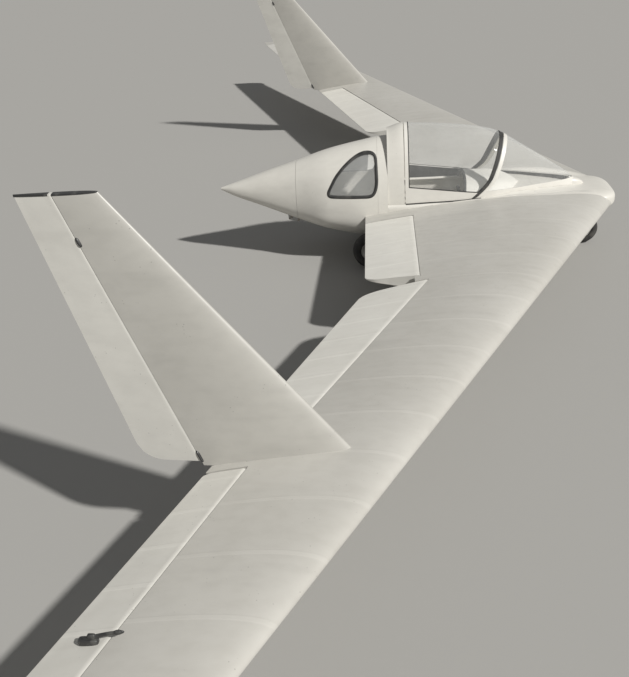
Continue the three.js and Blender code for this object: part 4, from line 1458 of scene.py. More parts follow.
@dataclass
class Pod:
    """Nose, cabin tub, rear deck and tail cone."""

    wall: float = 0.018
    tip: float = -1.4995
    nose_joint: float = -0.76
    hatch_fore: float = -0.638
    arch_fore: float = 0.532
    cabin_joint: float = 0.6195
    deck_joint: float = 0.6205
    tail_joint: float = 1.36
    tail_end: float = 2.083
    cavity_aft: float = 1.15
    joint_gap: float = 0.001
    sill_ledge: float = 0.024
    nose_round: float = 0.2
    opening_round: float = 0.06
    pane_lap: float = 0.004
    pane_inset: float = 0.004
    pane_thick: float = 0.004
    columns: int = 96
    hatch: tuple[tuple[float, float], ...] = (
        (-0.640, 0.060), (-0.590, 0.160), (-0.510, 0.240), (-0.380, 0.310),
        (-0.100, 0.358), (0.200, 0.365), (0.380, 0.370), (0.600, 0.370),
    )
    quarter: tuple[tuple[float, float], ...] = (
        (0.640, 0.532), (0.632, 0.300), (0.662, 0.200), (1.070, 0.205),
        (0.985, 0.355), (0.905, 0.438), (0.815, 0.502), (0.735, 0.534),
    )
    seal_section: tuple[tuple[float, float], ...] = (
        (-0.007, -0.010), (-0.004, 0.002), (0.002, 0.006), (0.008, 0.007), (0.015, 0.005),
        (0.020, 0.001), (0.021, -0.004), (0.016, -0.006), (0.0, -0.007), (-0.006, -0.012),
    )

    def ring(self) -> Array:
        """Angles round a section, evenly spaced from the port side over the top."""
        return np.linspace(0, 2 * np.pi, self.columns, endpoint=False)[None, :]

    def nose(self) -> Mesh:
        """Nose: rings from the round point to the cabin joint, closed at both ends.

        Each ring of the section table is scaled about its middle by (1 - (1 - t) ** 3) ** (1 / 3), with
        t from 0 at the point to 1 at 0.2 m behind it.
        """
        length = self.nose_joint - self.joint_gap - self.tip
        y = self.tip + length * np.linspace(0.012, 1, 84)[:, None] ** 2.4
        rings = LOW.point(y, self.ring())
        swell = (1 - (1 - np.clip((y - self.tip) / self.nose_round, 0, 1)) ** 3) ** (1 / 3)
        middle = LOW.at(y)[1]
        rings[..., 0] *= swell
        rings[..., 2] = middle + (rings[..., 2] - middle) * swell
        return capped(rings)

    def opening(self, y: Array) -> Array:
        """Half width of the cockpit opening at the sill, the hatch curve less the sill ledge.

        Its front is rounded as sqrt(k), with k from 0 at the hatch's first station to 1 at 60 mm behind.

        Args:
            y: stations.

        Returns:
            The half widths, 0 ahead of the opening.
        """
        stations, widths = np.array(self.hatch).T
        w = smooth_column(stations, widths, np.clip(y, stations[0], stations[-1]))
        front = np.clip((y - stations[0]) / self.opening_round, 0, 1)
        return np.clip((w - self.sill_ledge) * np.sqrt(front), 0.0, None) * (y > stations[0])

    def cabin(self) -> Mesh:
        """Cabin tub: a thick skin, open at the top between the sills.

        The section runs from the port sill edge round the belly to the starboard sill edge at angle
        a, then back along the inner skin. Ahead of the cockpit the two edges meet.

        Returns:
            The mesh.
        """
        y = np.linspace(self.hatch_fore, self.arch_fore, 76)[:, None]
        w = LOW.at(y)[0]
        lip = np.arccos(np.clip((self.opening(y) / w) ** 2, 0, 1))
        k = np.linspace(0, 1, 90)[None, :]
        angle = lip - (np.pi + 2 * lip) * k
        return two_faced(LOW.point(y, angle), LOW.point(y, angle, self.wall))

    def ring_shell(self, table: Sections, fore: float, aft: float, rows: int) -> Mesh:
        """Thick closed ring of a section table, skin outside and wall inside.

        Args:
            table: the sections.
            fore: front station.
            aft: rear station.
            rows: rings in each face.

        Returns:
            The mesh.
        """
        y = np.linspace(fore, aft, rows)[:, None]
        outer = table.point(y, self.ring())
        inner = table.point(y, self.ring(), self.wall)[::-1]
        return looped(np.concatenate([outer, inner]))

    def rear(self) -> Mesh:
        """Rear deck: a cup, closed outside at the tail joint and inside at the cavity's end."""
        y_out = np.linspace(self.deck_joint, self.tail_joint - self.joint_gap, 50)[:, None]
        y_in = np.linspace(self.cavity_aft, self.deck_joint, 36)[:, None]
        outer = HIGH.point(y_out, self.ring())[::-1]
        inner = HIGH.point(y_in, self.ring(), self.wall)[::-1]
        return capped(np.concatenate([outer, inner]))

    def tail(self) -> Mesh:
        """Tail cone: rings from the joint to the blunt tip, closer together towards it."""
        t = np.linspace(0, 1, 46)[:, None]
        start = self.tail_joint + self.joint_gap
        y = start + (self.tail_end - start) * (1 - (1 - t) ** 1.4)
        return capped(HIGH.point(y, self.ring()))

    def window_outline(self, grow: float, count: int = 120) -> Array:
        """Rounded outline of a quarter window as (y, z) rows.

        The corners are rounded by averaging the outline twice over a short reach, and each point is
        moved along the outline's normal by grow.

        Args:
            grow: distance that the outline stands outside the opening.
            count: points round the outline.

        Returns:
            The outline.
        """
        corners = np.array(self.quarter + self.quarter[:1])
        length = lengths_along(corners)
        where = np.linspace(0, length[-1], count, endpoint=False)
        line = np.stack([np.interp(where, length, corners[:, i]) for i in range(2)], -1)
        reach = max(1, int(0.025 * count))
        for _ in range(2):
            line = sum(np.roll(line, shift, axis=0) for shift in range(-reach, reach + 1)) / (2 * reach + 1)
        tangent = np.roll(line, -1, axis=0) - np.roll(line, 1, axis=0)
        normal = unit(np.stack([tangent[:, 1], -tangent[:, 0]], -1))
        outward = np.sign(((line - line.mean(0)) * normal).sum(1).mean())
        return line + outward * grow * normal

    def window_cut(self) -> Mesh:
        """Prism through both sides of the rear deck, as two plugs."""
        y, z = self.window_outline(0.0).T
        return joined(capped(np.stack([grid(side * x, y, z) for x in (0.1, 0.6)])) for side, _ in SIDES)

    def pane(self, side: int) -> Mesh:
        """Curved quarter window pane that follows the deck's skin, a disc of rings with two faces.

        Args:
            side: side of the craft.

        Returns:
            The mesh.
        """
        line = self.window_outline(self.pane_lap)
        centre = line.mean(0)
        y, z = np.moveaxis(centre + np.linspace(0, 1, 12)[:, None, None] * (line - centre), -1, 0)
        depths = (self.pane_inset, self.pane_inset + self.pane_thick)
        outer, inner = (grid(side * HIGH.side_at(y, z, depth), y, z) for depth in depths)
        return tube(np.concatenate([outer, inner[::-1]]), closed_ends=False)

    def window_seal(self, side: int) -> Mesh:
        """Rubber seal round a quarter window: a low rounded band on the skin, 28 mm wide.

        Args:
            side: side of the craft.

        Returns:
            The mesh, its section carried round the window's outline.
        """
        rings = []
        for spread, rise in self.seal_section:
            y, z = self.window_outline(spread).T
            rings.append(grid(side * HIGH.side_at(y, z, -rise), y, z))
        return looped(np.stack(rings, axis=1))

    def build(self, shop: Workshop) -> None:
        """Builds and dresses the pod.

        Args:
            shop: maker of its objects.
        """
        front = self.ring_shell(LOW, self.nose_joint, self.hatch_fore, 8)
        arch = self.ring_shell(HIGH, self.arch_fore, self.cabin_joint, 10)
        tub = joined([front, self.cabin(), arch])
        shop.add("nose_shell", self.nose(), POD_PAINT, replaces=["pod_nose"], sharp=50)
        shop.add("cabin_tub", tub, POD_PAINT, replaces=["pod_cabin"], sharp=45)
        shop.add("rear_deck", self.rear(), POD_PAINT, replaces=["pod_rear"], cut=self.window_cut())
        shop.add("tail_shell", self.tail(), POD_PAINT, replaces=["tail_cone"], sharp=50)
        for side, word in SIDES:
            pane = self.pane(side)
            shop.add(f"quarter_pane_{word}", pane, PANE, replaces=[f"quarter_window_{word}"], sharp=50)
            shop.add(f"quarter_seal_{word}", self.window_seal(side), SEAL, sharp=60)


@dataclass
class RootFairing:
    """Fillet that closes the step between a wing's root and the lower deck of the pod."""

    wing: Wing
    fore: float = -1.37
    aft: float = 0.14
    overlap: float = 0.03
    width: float = 0.10
    proud: float = 0.0009
    thick: float = 0.004
    chord_span: float = 0.3

    def strip(self) -> Mesh:
        """Blend z = (1 - w) wing skin + w deck, with w a smooth step from the root edge in to the deck.

        Its inner edge keeps 12 mm from the canopy's rails.

        Returns:
            The mesh, in the aircraft frame, on the port side.
        """
        y = np.linspace(self.fore, self.aft, 110)[:, None]
        front = self.wing.fore(self.chord_span)
        chord = self.wing.aft(self.chord_span) - front
        root = self.wing.root((y - front) / chord)
        start = root + self.overlap
        rail = BUBBLE.side_at(y, 0.12) + 0.012
        end = np.maximum(root - self.width, np.where(y > BUBBLE.rows[0][0], rail, 0.0))
        x = start + (end - start) * np.linspace(0, 1, 26)
        share = smooth_step((root - x) / (root - end + 1e-6))
        z = (1 - share) * self.wing.skin(x, y, 1) + share * LOW.deck(x, y) + self.proud * (1 - 0.8 * share)
        return two_faced(grid(x, y, z), grid(x, y, z - self.thick))

    def build(self, shop: Workshop) -> None:
        """Builds and dresses the fillet."""
        strip = self.strip().on(self.wing.side)
        shop.add(f"root_fairing_{self.wing.word}", strip, POD_PAINT, sharp=50)


@dataclass(frozen=True)
class Face:
    """Cut across the bubble: where it crosses the sill, and 1 where it leans forward with the bow."""

    station: float
    lean: float = 0.0


@dataclass
class Canopy:
    """Windscreen, hoop and opening hood over the cockpit.

    The layers are pairs of insets from the bubble, of the outer and of the inner skin.
    """

    glass: tuple[float, float] = (0.0, 0.005)
    arch: tuple[float, float] = (-0.003, 0.014)
    rail: tuple[float, float] = (-0.0028, 0.014)
    lining: tuple[float, float] = (0.0138, 0.0168)
    frame: float = 0.034
    bow: tuple[tuple[float, float], ...] = (
        (-0.20, -0.20), (0.06, -0.14), (0.144, -0.045), (0.2, 0.018), (0.276, 0.088),
        (0.366, 0.128), (0.45, 0.158), (0.556, 0.19), (0.66, 0.22), (0.9, 0.29),
    )
    screen_rail: float = 0.186
    screen_fore: float = -1.118
    screen_aft: float = -0.300
    hood: tuple[float, float] = (-0.293, 0.378)
    hoop: tuple[float, float] = (0.385, 0.531)
    lift: float = 0.006
    rail_top: tuple[float, float] = (0.178, 0.262)
    nose: float = -1.146
    rear: float = 0.6
    halvings: int = 26
    cover_front: float = -0.654
    cover_length: float = 0.491
    cover_bow: float = 0.022
    cover_ramp: float = 0.34
    cover_rise: float = 0.092
    cover_flange: float = 0.009

    def foot(self, y: Array, clear: float) -> Array:
        """Angle of the bubble where it meets the deck, a given height over it.

        The deck's height at the bubble's half width w cos a is set equal to mid + h sin a by bisection
        over whole arrays.

        Args:
            y: stations.
            clear: height over the deck.

        Returns:
            The angle from the port side.
        """
        low, high = np.full_like(y, -0.6), np.full_like(y, 1.2)
        for _ in range(self.halvings):
            a = (low + high) / 2
            p = BUBBLE.point(y, a)
            under = p[..., 2] < LOW.deck(p[..., 0], y) + clear
            low, high = np.where(under, a, low), np.where(under, high, a)
        return high

    def forward(self, z: Array) -> Array:
        """How far a leaning face has gone forward at a height, a smooth column through the bow's table."""
        heights, reach = np.array(self.bow).T
        return smooth_column(heights, reach, np.clip(z, heights[0], heights[-1]))

    def station(self, face: Face, k: Array, turn: Callable[[Array, Array], Array]) -> Array:
        """Station where a face meets the bubble, for each share round its section.

        Solves y = station - lean forward(z(y)) by bisection over the whole array.

        Args:
            face: the face.
            k: shares round the section.
            turn: angle at a station and a share.

        Returns:
            One station for each share.
        """
        low, high = np.full_like(k, self.nose), np.full_like(k, self.rear)
        for _ in range(self.halvings):
            y = (low + high) / 2
            z = BUBBLE.point(y, turn(y, k))[..., 2]
            ahead = y < face.station - face.lean * self.forward(z)
            low, high = np.where(ahead, y, low), np.where(ahead, high, y)
        return (low + high) / 2

    def over(self, start: Callable[[Array], Array]) -> Callable[[Array, Array], Array]:
        """Angle that runs by share from a port edge over the top to the starboard edge."""
        return lambda y, k: start(y) + k * (np.pi - 2 * start(y))

    def shell(
        self,
        fore: Face,
        aft: Face,
        turn: Callable[[Array, Array], Array],
        layer: tuple[float, float],
        rows: int,
        power: float = 1.0,
        columns: int = 96,
    ) -> Mesh:
        """Thick curved sheet of the bubble between two faces.

        Corner (u, k): y = fore(k) + u ** power (aft(k) - fore(k)), angle = turn(y, k).

        Args:
            fore: front face.
            aft: rear face.
            turn: angle at a station and a share.
            layer: insets of its outer and its inner skin.
            rows: rows along the craft.
            power: above 1 draws the rows to the front.
            columns: corners across the sheet.

        Returns:
            The mesh.
        """
        k = np.linspace(0, 1, columns)
        first, last = self.station(fore, k, turn), self.station(aft, k, turn)
        u = np.linspace(0, 1, rows)[:, None] ** power
        y = first + u * (last - first)
        angle = turn(y, k)
        return two_faced(*(BUBBLE.point(y, angle, inset) for inset in layer))

    def from_deck(self, clear: float) -> Callable[[Array], Array]:
        """Port edge that follows the deck, a given height over it, worked out once on a fine table.

        Args:
            clear: height over the deck.

        Returns:
            The angle at stations.
        """
        table = np.linspace(self.nose - 0.002, self.rear + 0.02, 160)
        angles = self.foot(table, clear)
        return lambda y: np.interp(y, table, angles)

    def at_height(self, top: Callable[[Array], Array]) -> Callable[[Array], Array]:
        """Angle where the bubble reaches a height: sin a = (z - mid) / h, at most its crown.

        Args:
            top: height at a station.

        Returns:
            The angle at stations.
        """
        def angle(y: Array) -> Array:
            """Angle at stations."""
            _, mid, crown, _ = BUBBLE.at(y)
            return np.arcsin(np.clip((top(y) - mid) / (crown - mid), -1, 0.9995))
        return angle

    def rail_line(self, y: Array) -> Array:
        """Angle of the hood rail's top edge, straight in side view.

        Args:
            y: stations.

        Returns:
            The angles.
        """
        k = (y - self.hood[0]) / (self.hood[1] - self.hood[0])
        rise = self.rail_top[0] + k * (self.rail_top[1] - self.rail_top[0])
        return self.at_height(lambda _: rise)(y)

    def screen_line(self, y: Array) -> Array:
        """Angle of the upper edge of the windscreen's foot rail, level at its height."""
        return self.at_height(lambda _: self.screen_rail)(y)

    def screen(self) -> Mesh:
        """Windscreen pane: a long pointed bubble over its foot rail, from its nose to the frame."""
        rear = Face(self.screen_aft - self.frame - 0.0005, 1.0)
        return self.shell(Face(self.screen_fore), rear, self.over(self.screen_line), self.glass, 60, 1.25)

    def side_strip(
        self,
        fore: Face,
        aft: Face,
        foot: Callable[[Array], Array],
        head: Callable[[Array], Array],
        layer: tuple[float, float],
    ) -> Mesh:
        """Strip of the bubble on both sides, its angle running from a foot line to a head line.

        Args:
            fore: front face.
            aft: rear face.
            foot: angle of its lower edge at a station.
            head: angle of its upper edge at a station.
            layer: insets of its outer and its inner skin.

        Returns:
            The two strips.
        """
        port = self.shell(fore, aft, lambda y, k: foot(y) + k * (head(y) - foot(y)), layer, 70, 1.0, 10)
        return joined([port, port.mirrored()])

    def rails(self) -> tuple[Mesh, Mesh]:
        """Side rails of the hood, and the dark lining on their inner faces."""
        foot, (fore, aft) = self.from_deck(self.lift), self.hood
        bare = self.side_strip(Face(fore, 1.0), Face(aft), foot, self.rail_line, self.rail)
        lined = self.side_strip(Face(fore + 0.012, 1.0), Face(aft - 0.02), foot, self.rail_line, self.lining)
        return bare, lined

    def screen_foot(self) -> tuple[Mesh, Mesh]:
        """Foot rail of the windscreen from its closed nose to the frame, and its dark lining."""
        foot, aft = self.from_deck(0.0), self.screen_aft - self.frame
        bare = self.side_strip(Face(self.nose), Face(aft, 1.0), foot, self.screen_line, self.rail)
        lined = self.side_strip(
            Face(self.nose + 0.05), Face(aft - 0.01, 1.0), foot, self.screen_line, self.lining
        )
        return joined([bare, self.screen_tip()]), lined

    def screen_tip(self) -> Mesh:
        """Closed tip of the foot rail: a low teardrop fairs its blunt front, t from 0 at the front.

        With s = (1 - (1 - t) ** 1.8) ** 0.7, its half width is 57.5 mm s and its height 55.5 mm s
        sqrt(1 - k ** 4) over a foot 124 mm up, where k runs from -1 to 1 across.
        """
        t = np.linspace(0.006, 1, 26)[:, None]
        swell = (1 - (1 - t) ** 1.8) ** 0.7
        y = self.nose - 0.088 + t * 0.128
        half = 0.0575 * swell
        k = -np.cos(np.linspace(0, np.pi, 29))
        rise = 0.0555 * swell * np.sqrt(1 - k**4 * 0.999)
        return two_faced(grid(half * k, y, 0.124 + rise), grid(half * k, y, 0.112))

    def hoop_web(self) -> Mesh:
        """Crescent that closes the step between the hoop and the lower rear deck.

        For each angle it runs from the hoop's inner face in to just under the deck's skin, or ends where
        the hoop already lies inside the deck.
        """
        angle = np.linspace(0.02, np.pi - 0.02, 90)
        head = BUBBLE.point(np.full_like(angle, 0.526), angle, 0.010)
        foot = HIGH.point(np.full_like(angle, 0.534), angle, 0.016)
        centre = np.array([0.0, 0.0, 0.05])
        to_head, to_foot = (np.linalg.norm((p - centre)[:, [0, 2]], axis=1) for p in (head, foot))
        foot = centre + (head - centre) * np.minimum(to_foot / to_head, 0.985)[:, None]
        fore, aft = 0.516, 0.530
        corners = ((fore, foot), (fore, head), (aft, head), (aft, foot))
        return tube(np.stack([grid(line[:, 0], station, line[:, 2]) for station, line in corners], axis=1))

    def bead(self, line: Array, radius: float, up: Sequence[float] = (0.0, 0.0, 1.0)) -> Mesh:
        """Round rubber bead along a line."""
        return swept(smooth_path(line, 140), round_outline(radius, 10), up)

    def bead_pair(self, port: Array, radius: float) -> list[Mesh]:
        """Round rubber bead along a line on the port side and along its mirror image."""
        return [self.bead(port, radius), self.bead(port * MIRROR, radius)]

    def pane_seal(self) -> Mesh:
        """Rubber bead round the hood's pane: front bow, both rails and rear bow."""
        k = np.linspace(0, 1, 60)
        turn = self.over(self.rail_line)
        loops = []
        for face in (Face(self.hood[0] + self.frame, 1.0), Face(self.hood[1] - self.frame)):
            y = self.station(face, k, turn)
            loops.append(self.bead(BUBBLE.point(y, turn(y, k), -0.001), 0.0045))
        y = np.linspace(self.hood[0] + 0.01, self.hood[1] - self.frame, 50)
        return joined([*loops, *self.bead_pair(BUBBLE.point(y, self.rail_line(y), -0.001), 0.0045)])

    def sill_gasket(self) -> Mesh:
        """Thin dark strip on the deck along the lower edge of each hood rail."""
        y = np.linspace(self.hood[0] + 0.01, self.hood[1] - 0.004, 60)
        return joined(self.bead_pair(BUBBLE.point(y, self.from_deck(0.0)(y), -0.0055), 0.0042))

    def shield(self) -> tuple[Mesh, Mesh]:
        """Cover over the instrument panel and the roll on its rear edge.

        The cover lies on the deck round its front. Its height is deck + rise (1 - |k| ** 4), where k runs
        from -1 to 1 across the cockpit and deck is the pod's own section, carried on over the opening.
        The rear edge bows aft at its sides by cover_bow.

        Returns:
            The cover and the roll.
        """
        k = np.linspace(-1, 1, 49)
        u = np.linspace(0, 1, 56)[:, None] ** 1.5
        y = self.cover_front + u * (self.cover_length + self.cover_bow * k**2)
        behind = y - self.cover_front
        half = Pod().opening(y + 0.010) + self.cover_flange * np.sqrt(np.clip(behind / 0.014, 0.0004, 1))
        rise = self.cover_rise * (1 - (1 - np.clip(behind / self.cover_ramp, 0, 1)) ** 2.2)
        z = LOW.deck(half * k, y) + 0.0025 + rise * (1 - np.abs(k) ** 4)
        upper = grid(half * k, y, z)
        drop = np.array([0.0, 0.0, 0.004])
        return two_faced(upper, upper - drop), self.bead(upper[-1] - drop, 0.0135, (0.0, 1.0, 0.0))

    def build(self, shop: Workshop) -> None:
        """Builds and dresses the canopy.

        Args:
            shop: maker of its objects.
        """
        deck, lifted = self.over(self.from_deck(0.0)), self.over(self.from_deck(self.lift))
        screen_end = self.screen_aft - self.frame
        pane_ends = (self.hood[0] + self.frame, self.hood[1] - self.frame)
        bow = self.shell(Face(screen_end, 1.0), Face(self.screen_aft, 1.0), deck, self.arch, 6)
        foot, foot_lining = self.screen_foot()
        hoop = self.shell(Face(self.hoop[0]), Face(self.hoop[1]), deck, self.arch, 14)
        front = self.shell(Face(self.hood[0], 1.0), Face(pane_ends[0], 1.0), lifted, self.arch, 6)
        rear = self.shell(Face(pane_ends[1]), Face(self.hood[1]), lifted, self.arch, 6)
        rails, lining = self.rails()
        pane = self.shell(
            Face(pane_ends[0], 1.0), Face(pane_ends[1]), self.over(self.rail_line), self.glass, 50
        )
        cover, roll = self.shield()
        for piece in (
            ("windscreen_pane", self.screen(), ACRYLIC, "airframe", ["windscreen_glass"], 60),
            ("windscreen_arch", joined([bow, foot]), FRAME_PAINT, "airframe", ["windscreen_frame"], 50),
            ("windscreen_lining", foot_lining, VINYL, "airframe", [], 60),
            ("canopy_arch", joined([hoop, self.hoop_web()]), POD_PAINT, "airframe", ["canopy_hoop"], 50),
            ("hood_frame_skin", joined([rear, rails]), FRAME_PAINT, "hood", ["hood_frame"], 50),
            ("hood_front_bow", front, SEAL, "hood", ["hood_frame"], 50),
            ("hood_lining", lining, VINYL, "hood", [], 60),
            ("hood_pane", pane, ACRYLIC, "hood", ["hood_glass"], 60),
            ("hood_seal", self.pane_seal(), SEAL, "hood", [], 60),
            ("sill_gasket", self.sill_gasket(), SEAL, "airframe", [], 60),
            ("panel_cover", cover, COVER, "airframe", [], 50),
            ("panel_roll", roll, SEAL, "airframe", [], 60),
        ):
            shop.add(*piece)


@dataclass
class Wheel:
    """A tyre on a cast rim."""

    name: str
    station: float
    track: float
    radius: float
    width: float
    ground: float = -0.46
    grooves: int = 3
    groove_depth: float = 0.0035
    wrap: float = 2.05
    dish: tuple[tuple[float, float], ...] = (
        (0.0146, 0.55), (0.030, 0.55), (0.036, 0.50), (0.040, 0.34), (0.052, 0.22),
    )
    well: tuple[tuple[float, float], ...] = (
        (0.026, 0.24), (0.012, 0.36), (0.008, 0.60), (0.002, 0.62), (0.0, 0.58),
    )
    bolts: int = 6
    bolt_circle: float = 0.046
    bolt_radius: float = 0.0042
    hub: float = field(init=False)
    half: float = field(init=False)

    def __post_init__(self) -> None:
        """Works out the rim's radius and half the width."""
        self.hub, self.half = 0.56 * self.radius, self.width / 2

    def tyre(self, centre: Sequence[float]) -> Mesh:
        """Tyre: rounded carcass with tread grooves round it, turned about the axle.

        For t from -1 to 1 and wrap w, x = half sin(t w), and the radius falls from the crown to the rim
        as (1 - cos(t w)) / (1 - cos w).

        Args:
            centre: middle of the axle.

        Returns:
            The mesh.
        """
        t = np.linspace(-1, 1, 61)
        side = self.half * np.sin(t * self.wrap)
        fall = (1 - np.cos(t * self.wrap)) / (1 - np.cos(self.wrap))
        crown = self.radius - (self.radius - self.hub) * fall
        wave = np.sin(self.grooves * np.pi * side / (0.72 * self.half) + np.pi / 2)
        tread = (np.abs(side) < 0.6 * self.half) & (np.abs(wave) < 0.16) & (np.abs(t) < 0.5)
        profile = list(zip(crown - self.groove_depth * tread, side))
        seat = self.hub + 0.0004
        profile += [(seat, 0.5 * self.half), (seat, -0.5 * self.half)]
        return lathe(profile, 96, centre)

    def rim(self, centre: Sequence[float]) -> Mesh:
        """Rim: a turned dish with a hub boss, beads at the tyre and a ring of bolts on each face.

        Args:
            centre: middle of the axle.

        Returns:
            The mesh.
        """
        face = [(r, x * self.half) for r, x in self.dish]
        face += [(self.hub - r, x * self.half) for r, x in self.well]
        parts = [lathe([(r, -x) for r, x in face] + face[::-1], 72, centre)]
        end = self.dish[3][1] * self.half
        bolt = [(0.0001, -end), (self.bolt_radius, -end), (self.bolt_radius, end), (0.0001, end)]
        for turn in range(self.bolts):
            angle = 2 * math.pi * turn / self.bolts
            offset = self.bolt_circle * np.array([0.0, math.cos(angle), math.sin(angle)])
            parts.append(lathe(bolt, 6, np.asarray(centre) + offset))
        return joined(parts)

    def build(self, shop: Workshop, side: int, body: str) -> None:
        """Builds and dresses the wheel on its body.

        Args:
            shop: maker of its objects.
            side: side of the craft.
            body: body that it rides on.
        """
        centre = (side * self.track, self.station, self.ground + self.radius)
        shop.add(f"{self.name}_tread", self.tyre(centre), TYRE, body, [f"{self.name}_tyre"], 40)
        shop.add(f"{self.name}_disc", self.rim(centre), RIM, body, [f"{self.name}_rim"], 35)


@dataclass
class Cockpit:
    """Seat, harness, panel and controls inside the cabin."""

    seat_curve: tuple[tuple[float, float], ...] = (
        (-0.095, -0.155), (0.06, -0.178), (0.2, -0.196), (0.275, -0.180), (0.33, -0.13),
        (0.40, 0.0), (0.46, 0.12), (0.515, 0.235),
    )
    seat_half: float = 0.195
    pad_thick: float = 0.040
    pad_base: float = 0.002
    channels: int = 7
    webbing: tuple[float, float] = (0.022, 0.0012)
    shoulder: tuple[tuple[float, float, float], ...] = (
        (0.06, 0.584, 0.318), (0.066, 0.57, 0.335), (0.082, 0.515, 0.300), (0.09, 0.40, 0.12),
        (0.075, 0.32, -0.02), (0.05, 0.26, -0.105), (0.03, 0.20, -0.135),
    )
    lap: tuple[tuple[float, float, float], ...] = (
        (0.219, 0.285, -0.215), (0.218, 0.275, -0.165), (0.196, 0.255, -0.122),
        (0.15, 0.232, -0.110), (0.09, 0.19, -0.124), (0.03, 0.165, -0.133),
    )
    panel_face: float = -0.334
    dial_places: tuple[tuple[float, float, float], ...] = (
        (-0.09, 0.165, 0.04), (0.0, 0.165, 0.04), (0.09, 0.165, 0.04),
        (-0.05, 0.085, 0.03), (0.05, 0.085, 0.03),
    )
    dial_marks: int = 12
    stick_line: tuple[tuple[float, float, float], ...] = (
        (0, -0.190, -0.246), (0, -0.174, -0.15), (0, -0.148, -0.03), (0, -0.128, 0.045),
    )
    grip_line: tuple[tuple[float, float, float], ...] = (
        (0, -0.129, 0.038), (0, -0.120, 0.08), (0, -0.110, 0.138),
    )

    def cushion(self) -> Mesh:
        """Seat cushion: a crowned pad over the seat's curve, its edge pulled in, with sewn channels.

        Corner (u, v): along the seat curve by u and across by v. Its thickness is (40 mm - channel)
        sqrt(1 - |v| ** 5) sqrt(1 - |2 u - 1| ** 10), over a base of 2 mm, and each of the seven channels
        is 7 mm deep at its middle.

        Returns:
            The mesh.
        """
        curve = np.array(self.seat_curve)
        length = lengths_along(curve)
        u = np.linspace(0, 1, 90)
        line = np.stack([smooth_column(length, curve[:, i], u * length[-1]) for i in range(2)], -1)
        tangent = unit(np.gradient(line, axis=0))
        normal = np.stack([-tangent[:, 1], tangent[:, 0]], -1)
        v = np.linspace(-1, 1, 50)[None, :]
        u = u[:, None]
        edge = (1 - np.abs(v) ** 5) ** 0.5 * (1 - np.abs(2 * u - 1) ** 10) ** 0.5
        channel = 0.007 * np.exp(-(((u * self.channels) % 1 - 0.5) / 0.07) ** 2)
        thick = (self.pad_thick - channel) * edge + self.pad_base
        x = self.seat_half * v * (1 - 0.03 * np.sin(np.pi * u * self.channels) ** 2)
        upper, base = (
            grid(x, line[:, :1] + normal[:, :1] * depth, line[:, 1:] + normal[:, 1:] * depth)
            for depth in (thick, np.full_like(thick, self.pad_base))
        )
        return two_faced(upper, base)

    def harness(self) -> Mesh:
        """Shoulder and lap straps as flat webbing over the cushion."""
        across = np.array([(-1, -1), (1, -1), (1, 1), (-1, 1)]) * self.webbing
        paths = [np.array(strap) * (side, 1, 1) for side in (-1, 1) for strap in (self.shoulder, self.lap)]
        return joined([swept(smooth_path(path, 30), across, (0.0, -0.4, 1.0)) for path in paths])

    def buckles(self) -> Mesh:
        """Harness release at the lap and a slider on each shoulder strap."""
        parts = [soft_block((-0.034, 0.148, -0.140), (0.034, 0.206, -0.120), 4.0, 18)]
        for x in (-0.0895, 0.0895):
            parts.append(soft_block((x - 0.027, 0.385, 0.094), (x + 0.027, 0.425, 0.132), 5.0, 14))
        return joined(parts)

    def dials(self) -> tuple[Mesh, Mesh, Mesh]:
        """Instrument rings, their faces, and their marks and needles, on the pilot's side of the panel."""
        rings, faces, marks = [], [], []
        on_face = self.panel_face + 0.0002
        for x, z, r in self.dial_places:
            at = (x, self.panel_face, z)
            ring = [(r, -0.004), (r + 0.005, -0.004), (r + 0.006, 0.0), (r + 0.004, 0.005), (r, 0.003)]
            disc = [(0.0001, -0.003), (r, -0.003), (r, 0.0), (0.0001, 0.0)]
            rings.append(turned_to_y(lathe(ring, 40, (0, 0, 0))).moved(at))
            faces.append(turned_to_y(lathe(disc, 40, (0, 0, 0))).moved(at))
            for k in range(self.dial_marks):
                a = 2 * math.pi * k / self.dial_marks
                spot = np.array([x + 0.82 * r * math.cos(a), on_face, z + 0.82 * r * math.sin(a)])
                marks.append(soft_block(spot - (0.0014, 0.0, 0.0014), spot + (0.0014, 0.0008, 0.0014), 4, 5))
            needle = np.array([(x, on_face + 0.0006, z), (x + 0.3 * r, on_face + 0.0006, z + 0.62 * r)])
            marks.append(swept(smooth_path(needle, 4), round_outline(0.0011, 6), (0.0, 1.0, 0.0)))
        return joined(rings), joined(faces), joined(marks)

    def stick(self) -> Mesh:
        """Control stick: a curved tube."""
        return swept(smooth_path(np.array(self.stick_line), 24), round_outline(0.0105, 14), (0.0, 1.0, 0.0))

    def grip(self) -> Mesh:
        """Grip: a handle of 14.5 mm radius with finger waves of 2.2 mm, its top edge drawn in."""
        line = smooth_path(np.array(self.grip_line), 40)
        k = np.linspace(0, 1, len(line))
        radius = 0.0145 + 0.0022 * np.sin(k * 4 * 2 * np.pi) * (k > 0.12) * (k < 0.9) - 0.004 * (k > 0.985)
        return swept(line, round_outline(1.0, 20), (0.0, 1.0, 0.0), radius)

